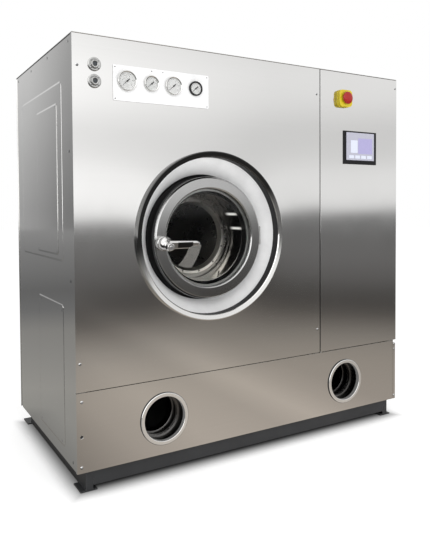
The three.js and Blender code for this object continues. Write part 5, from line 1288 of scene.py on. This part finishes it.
# ---------------------------------------------------------------- gauges
# A white enamelled plate carries four pressure gauges with pressed bezels, printed dials and black needles.
# The dials carry plain ticks and numbers over three quarters of a turn.
DIAL_WHITE = (0.74, 0.74, 0.73, 1)
DIAL_INK = (0.03, 0.03, 0.03, 1)
BLACK_PLASTIC = (0.007, 0.007, 0.008, 1)
PLASTIC_RUBBED = (0.03, 0.03, 0.03, 1)
SWEEP_START = 222.0
SWEEP = 264.0
DIAL_GLOW = 0.44
NUMBERS_PLACE = 0.62
NUMBERS_HEIGHT = 0.17
GAUGE_SIDES = 64
DIAL_DEPTH = -8.6 * MM
BEZEL_WIDTHS = (4.6 * MM, 5.4 * MM, 4.6 * MM, 6.2 * MM)
TICKS = 40
NUMBERS = (0, 2, 4, 6, 8, 10)

# Painted light: the dials give DIAL_GLOW of their own light, which lightens them behind their glass panes.
dial_card = coated("dial_card", DIAL_WHITE, DIAL_WHITE, 0.45, 400.0, 0.00001, glow=DIAL_GLOW)
dial_ink = coated("dial_ink", DIAL_INK, DIAL_INK, 0.5, 400.0, 0.00001)
black_plastic = coated("black_plastic", BLACK_PLASTIC, PLASTIC_RUBBED, 0.32, 700.0, 0.00004, shine=0.22)
gauge_pane = clear_glass("gauge_pane", (0.97, 0.98, 0.98, 1), 1.25)
eased_solid("gauge_plate", 0.5 * MM, "white_enamel", enamel)


def bars(centre, angles, inner, outer, width, near, far):
    """Closed boxes laid along radii: each joins inner and outer radius at its angle, width wide, near to
    far deep."""
    turn = np.radians(np.asarray(angles, float))[:, None, None]
    corners = np.array([[-1, near], [1, near], [1, far], [-1, far]])
    radius = np.array([inner, inner, outer, outer])[None, :, None]
    size = np.array([0, 1, 1, 0])[None, :, None]
    beside = corners[None, None, :, 0] * width / 2 * size
    deep = (near + far) / 2 + (corners[None, None, :, 1] - (near + far) / 2) * size
    x = radius * np.cos(turn) - beside * np.sin(turn)
    z = radius * np.sin(turn) + beside * np.cos(turn)
    return centre + np.stack([x, deep + 0 * x, z], axis=-1)


def numeral(text, height, place):
    """A number as a thin solid: the built-in letter shape, filled, given a thickness, and stood up on the
    dial."""
    shape = bpy.data.curves.new("numeral", "FONT")
    shape.body = text
    shape.size = height
    shape.align_x, shape.align_y = "CENTER", "CENTER"
    shape.extrude = 0.05 * MM
    holder = bpy.data.objects.new("numeral", shape)
    bpy.context.scene.collection.objects.link(holder)
    bpy.context.view_layer.update()
    mesh = bpy.data.meshes.new_from_object(holder.evaluated_get(bpy.context.evaluated_depsgraph_get()))
    bpy.data.objects.remove(holder)
    mesh.transform(Matrix.Translation(Vector(place)) @ Matrix.Rotation(math.pi / 2, 4, "X"))
    return mesh


def joined(name, meshes):
    """One mesh object of several meshes."""
    whole = bmesh.new()
    for mesh in meshes:
        whole.from_mesh(mesh)
    mesh = bpy.data.meshes.new(name)
    whole.to_mesh(mesh)
    whole.free()
    return bpy.data.objects.new(name, mesh)


plate_low, plate_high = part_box("gauge_plate")
plate_face = plate_low.y - 0.3 * MM
dial_back = depth(DIAL_DEPTH)
card_near = dial_back - 0.2 * MM
tick_angles = SWEEP_START - SWEEP * np.arange(TICKS + 1) / TICKS
number_angles = np.radians(SWEEP_START - SWEEP * np.array(NUMBERS) / NUMBERS[-1])
for number, bezel_width in enumerate(BEZEL_WIDTHS, start=1):
    case, tail = "gauge_case_" + str(number), str(number)
    gauge_centre, gauge_outer, gauge_near, gauge_far = middle(case)
    dial_radius = gauge_outer - bezel_width
    neck_radius = gauge_outer - 4 * MM
    bezel_outline = [[0, dial_back], [dial_radius, dial_back], [dial_radius, gauge_near + 3 * MM],
                     [gauge_outer - 1.5 * MM, gauge_near], [gauge_outer, gauge_near + 2 * MM],
                     [gauge_outer, plate_face], [neck_radius, plate_face], [neck_radius, gauge_far],
                     [0, gauge_far]]
    bezel_look = ("black_plastic", black_plastic) if number == 4 else ("polished_steel", polished_steel)
    turned_piece("gauge_bezel_" + tail, bezel_outline, 0.9 * MM, gauge_centre, "cabinet", *bezel_look, case,
                 sides=GAUGE_SIDES)
    turned_piece("gauge_dial_" + tail, rectangle(0, dial_radius - 0.3 * MM, card_near, dial_back), 0.05 * MM,
                 gauge_centre, "cabinet", "white_enamel", dial_card, sides=GAUGE_SIDES)
    ticks = [skin("ticks", bars(gauge_centre, angles, start * dial_radius, 0.92 * dial_radius, width,
                                card_near - rise, card_near + 0.02 * MM), closed_rows=False).data
             for angles, start, width, rise in ((tick_angles[::4], 0.78, 0.8 * MM, 0.12 * MM),
                                                (tick_angles, 0.86, 0.4 * MM, 0.10 * MM))]
    reach = NUMBERS_PLACE * dial_radius
    digits = [numeral(str(value), NUMBERS_HEIGHT * dial_radius,
                      gauge_centre + (reach * math.cos(angle), card_near - 0.04 * MM,
                                      reach * math.sin(angle)))
              for value, angle in zip(NUMBERS, number_angles)]
    dress(joined("gauge_scale_" + tail, ticks + digits), "cabinet", "black_plastic", dial_ink)
    pane_near = gauge_near + 2.3 * MM
    turned_piece("gauge_pane_" + tail, rectangle(0, dial_radius - 0.2 * MM, pane_near, pane_near + 0.9 * MM),
                 0.1 * MM, gauge_centre, "cabinet", "door_glass", gauge_pane, sides=GAUGE_SIDES)
    eased_solid("gauge_needle_" + tail, 0.15 * MM, "black_plastic", dial_ink)

PLATE_SCREW_INSET = 8 * MM
MARK_DROP = 9 * MM
MARK_PLACES = (166 * MM, 216 * MM)
plate_spots = [(x, 0, z) for z in (plate_low.z + PLATE_SCREW_INSET, plate_high.z - PLATE_SCREW_INSET)
               for x in (plate_low.x + PLATE_SCREW_INSET, plate_high.x - PLATE_SCREW_INSET)]
plate_spots += [(plate_low.x + across, 0, plate_high.z - MARK_DROP) for across in MARK_PLACES]
plate_screws = skin("gauge_plate_screws", domes(plate_spots, 2.8 * MM, 1.4 * MM, plate_low.y))
dress(plate_screws, "cabinet", "polished_steel", zinc)


# ---------------------------------------------------------------- sight glasses
# Two round sight glasses in the solvent line, each a flange with four screws, a raised collar and a
# dark eye under its glass.
EYE_COLOUR = (0.03, 0.035, 0.04, 1)
sight_steel = steel("sight_steel", (0.50, 0.50, 0.49, 1), 0.26, (60, 60, 60), 0.000001, line_share=0.05)
eye_glass = coated("eye_glass", EYE_COLOUR, EYE_COLOUR, 0.06, 100.0, 0.00001)
for level in ("upper", "lower"):
    sight_centre, sight_outer, sight_near, sight_far = middle("sight_glass_" + level)
    flange_near = depth(-6.3 * MM)
    sight_outline = [[0, sight_near + 5 * MM], [9.2 * MM, sight_near + 4 * MM],
                     [9.2 * MM, sight_near + 1 * MM],
                     [11 * MM, sight_near], [15 * MM, sight_near], [16 * MM, flange_near + 1 * MM],
                     [19 * MM, flange_near], [sight_outer - 2 * MM, flange_near],
                     [sight_outer, flange_near + 2 * MM],
                     [sight_outer, PANEL_SEAT], [15 * MM, PANEL_SEAT], [15 * MM, sight_far],
                     [0, sight_far]]
    turned_piece("sight_flange_" + level, sight_outline, 0.9 * MM, sight_centre, "cabinet", "polished_steel",
                 sight_steel, "sight_glass_" + level, sides=64)
    eye_outline = [[0, sight_near + 2 * MM], [9 * MM, sight_near + 2.6 * MM],
                   [9 * MM, sight_near + 4.4 * MM],
                   [0, sight_near + 4.8 * MM]]
    turned_piece("sight_eye_" + level, eye_outline, 0.3 * MM, sight_centre, "cabinet", "black_plastic",
                 eye_glass,
                 sides=SMALL_TURNED_SIDES)
    sight_screw_places = round_row(4, 20.8 * MM, sight_centre, 45)
    sight_screws = skin("sight_screws_" + level, domes(sight_screw_places, 3 * MM, 1.6 * MM, flange_near))
    dress(sight_screws, "cabinet", "polished_steel", zinc)


# ---------------------------------------------------------------- control door fittings
# The emergency stop is a yellow moulded box with a red mushroom button. The touch panel has a black
# moulded frame and a lit screen with plain blocks. A rod hinges the door at the seam.
STOP_YELLOW = (0.64, 0.51, 0.018, 1)
STOP_RED = (0.34, 0.010, 0.008, 1)
SCREEN_PALE = (0.41, 0.41, 0.48, 1)
SCREEN_LILAC = (0.36, 0.335, 0.55, 1)
SCREEN_WHITE = (0.62, 0.65, 0.76, 1)
SCREEN_GLOW = 0.05
BLOCK_EASING = 1.2 * MM
BLOCK_RISE = 0.40 * MM
KEY_PITCH = 0.215

yellow_moulding = coated("yellow_moulding", STOP_YELLOW, (0.8, 0.68, 0.1, 1), 0.38, 500.0, 0.00002)
red_moulding = coated("red_moulding", STOP_RED, (0.7, 0.08, 0.05, 1), 0.30, 500.0, 0.00002)
eased_solid("stop_housing", 2.2 * MM, "stop_yellow", yellow_moulding)
eased_solid("stop_stem", 0.6 * MM, "black_plastic", black_plastic)
cap_centre, cap_outer, cap_near, cap_far = middle("stop_cap")
cap_outline = [[0, cap_near], [10 * MM, cap_near + 0.3 * MM], [20 * MM, cap_near + 1.6 * MM],
               [cap_outer - 3 * MM, cap_near + 4.4 * MM], [cap_outer, cap_near + 8 * MM],
               [cap_outer, cap_far - 2.5 * MM], [cap_outer - 5 * MM, cap_far], [0, cap_far]]
turned_piece("stop_cap_moulded", cap_outline, 2.4 * MM, cap_centre, "stop_cap", "stop_red", red_moulding,
             "stop_cap",
             sides=64)
eased_solid("touch_panel", 1.0 * MM, "black_plastic", black_plastic)
eased_solid("control_hinge_rod", 0.4 * MM, "polished_steel", polished_steel)


def lit_screen(name, colour):
    """A lit screen's colour: a faint grid of picture cells under a smooth face, with its own glow."""
    material, tree, shader, place = finish(name)
    fine = vector_maths(tree, "MULTIPLY", place, (40, 40, 900))
    cells = add(tree, "TexNoise", {"Vector": fine, "Scale": 1.0}).outputs[0]
    lit = mixed(tree, cells, toned(colour, 0.93), colour)
    feed(tree, shader, {"Base Color": lit, "Emission Color": lit, "Emission Strength": SCREEN_GLOW,
                        "Roughness": 0.2})
    return material


panel_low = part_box("touch_panel")[0]
screen_low = np.array([panel_low.x + 20 * MM, panel_low.z + 20 * MM])
screen_size = np.array([192, 140]) * MM
screen_back = depth(-2.1 * MM)


def screen_block(name, low, high, rise, material):
    """A flat block of the screen between two corners given as shares of the screen, rise proud of its
    back."""
    corner_low, corner_high = screen_low + screen_size * low, screen_low + screen_size * high
    edge = eased_freely(rectangle(corner_low[0], corner_high[0], corner_low[1], corner_high[1]),
                        BLOCK_EASING)
    grid = prism(np.insert(edge, 1, 0, axis=1), screen_back, screen_back - rise)
    dress(skin(name, grid, closed_rows=False), "control_door", "black_plastic", material)


screen_pale = lit_screen("screen_pale", SCREEN_PALE)
screen_lilac = lit_screen("screen_lilac", SCREEN_LILAC)
screen_white = lit_screen("screen_white", SCREEN_WHITE)
screen_block("screen_ground", (0.004, 0.006), (0.996, 0.994), 0.25 * MM, screen_pale)
screen_block("screen_tall_block", (0.16, 0.27), (0.40, 0.72), BLOCK_RISE, screen_white)
screen_block("screen_main_block", (0.42, 0.24), (0.93, 0.80), BLOCK_RISE, screen_lilac)
for column in range(4):
    left = 0.10 + KEY_PITCH * column
    screen_block("screen_key_" + str(column + 1), (left, 0.07), (left + 0.17, 0.18), BLOCK_RISE,
                 screen_white)
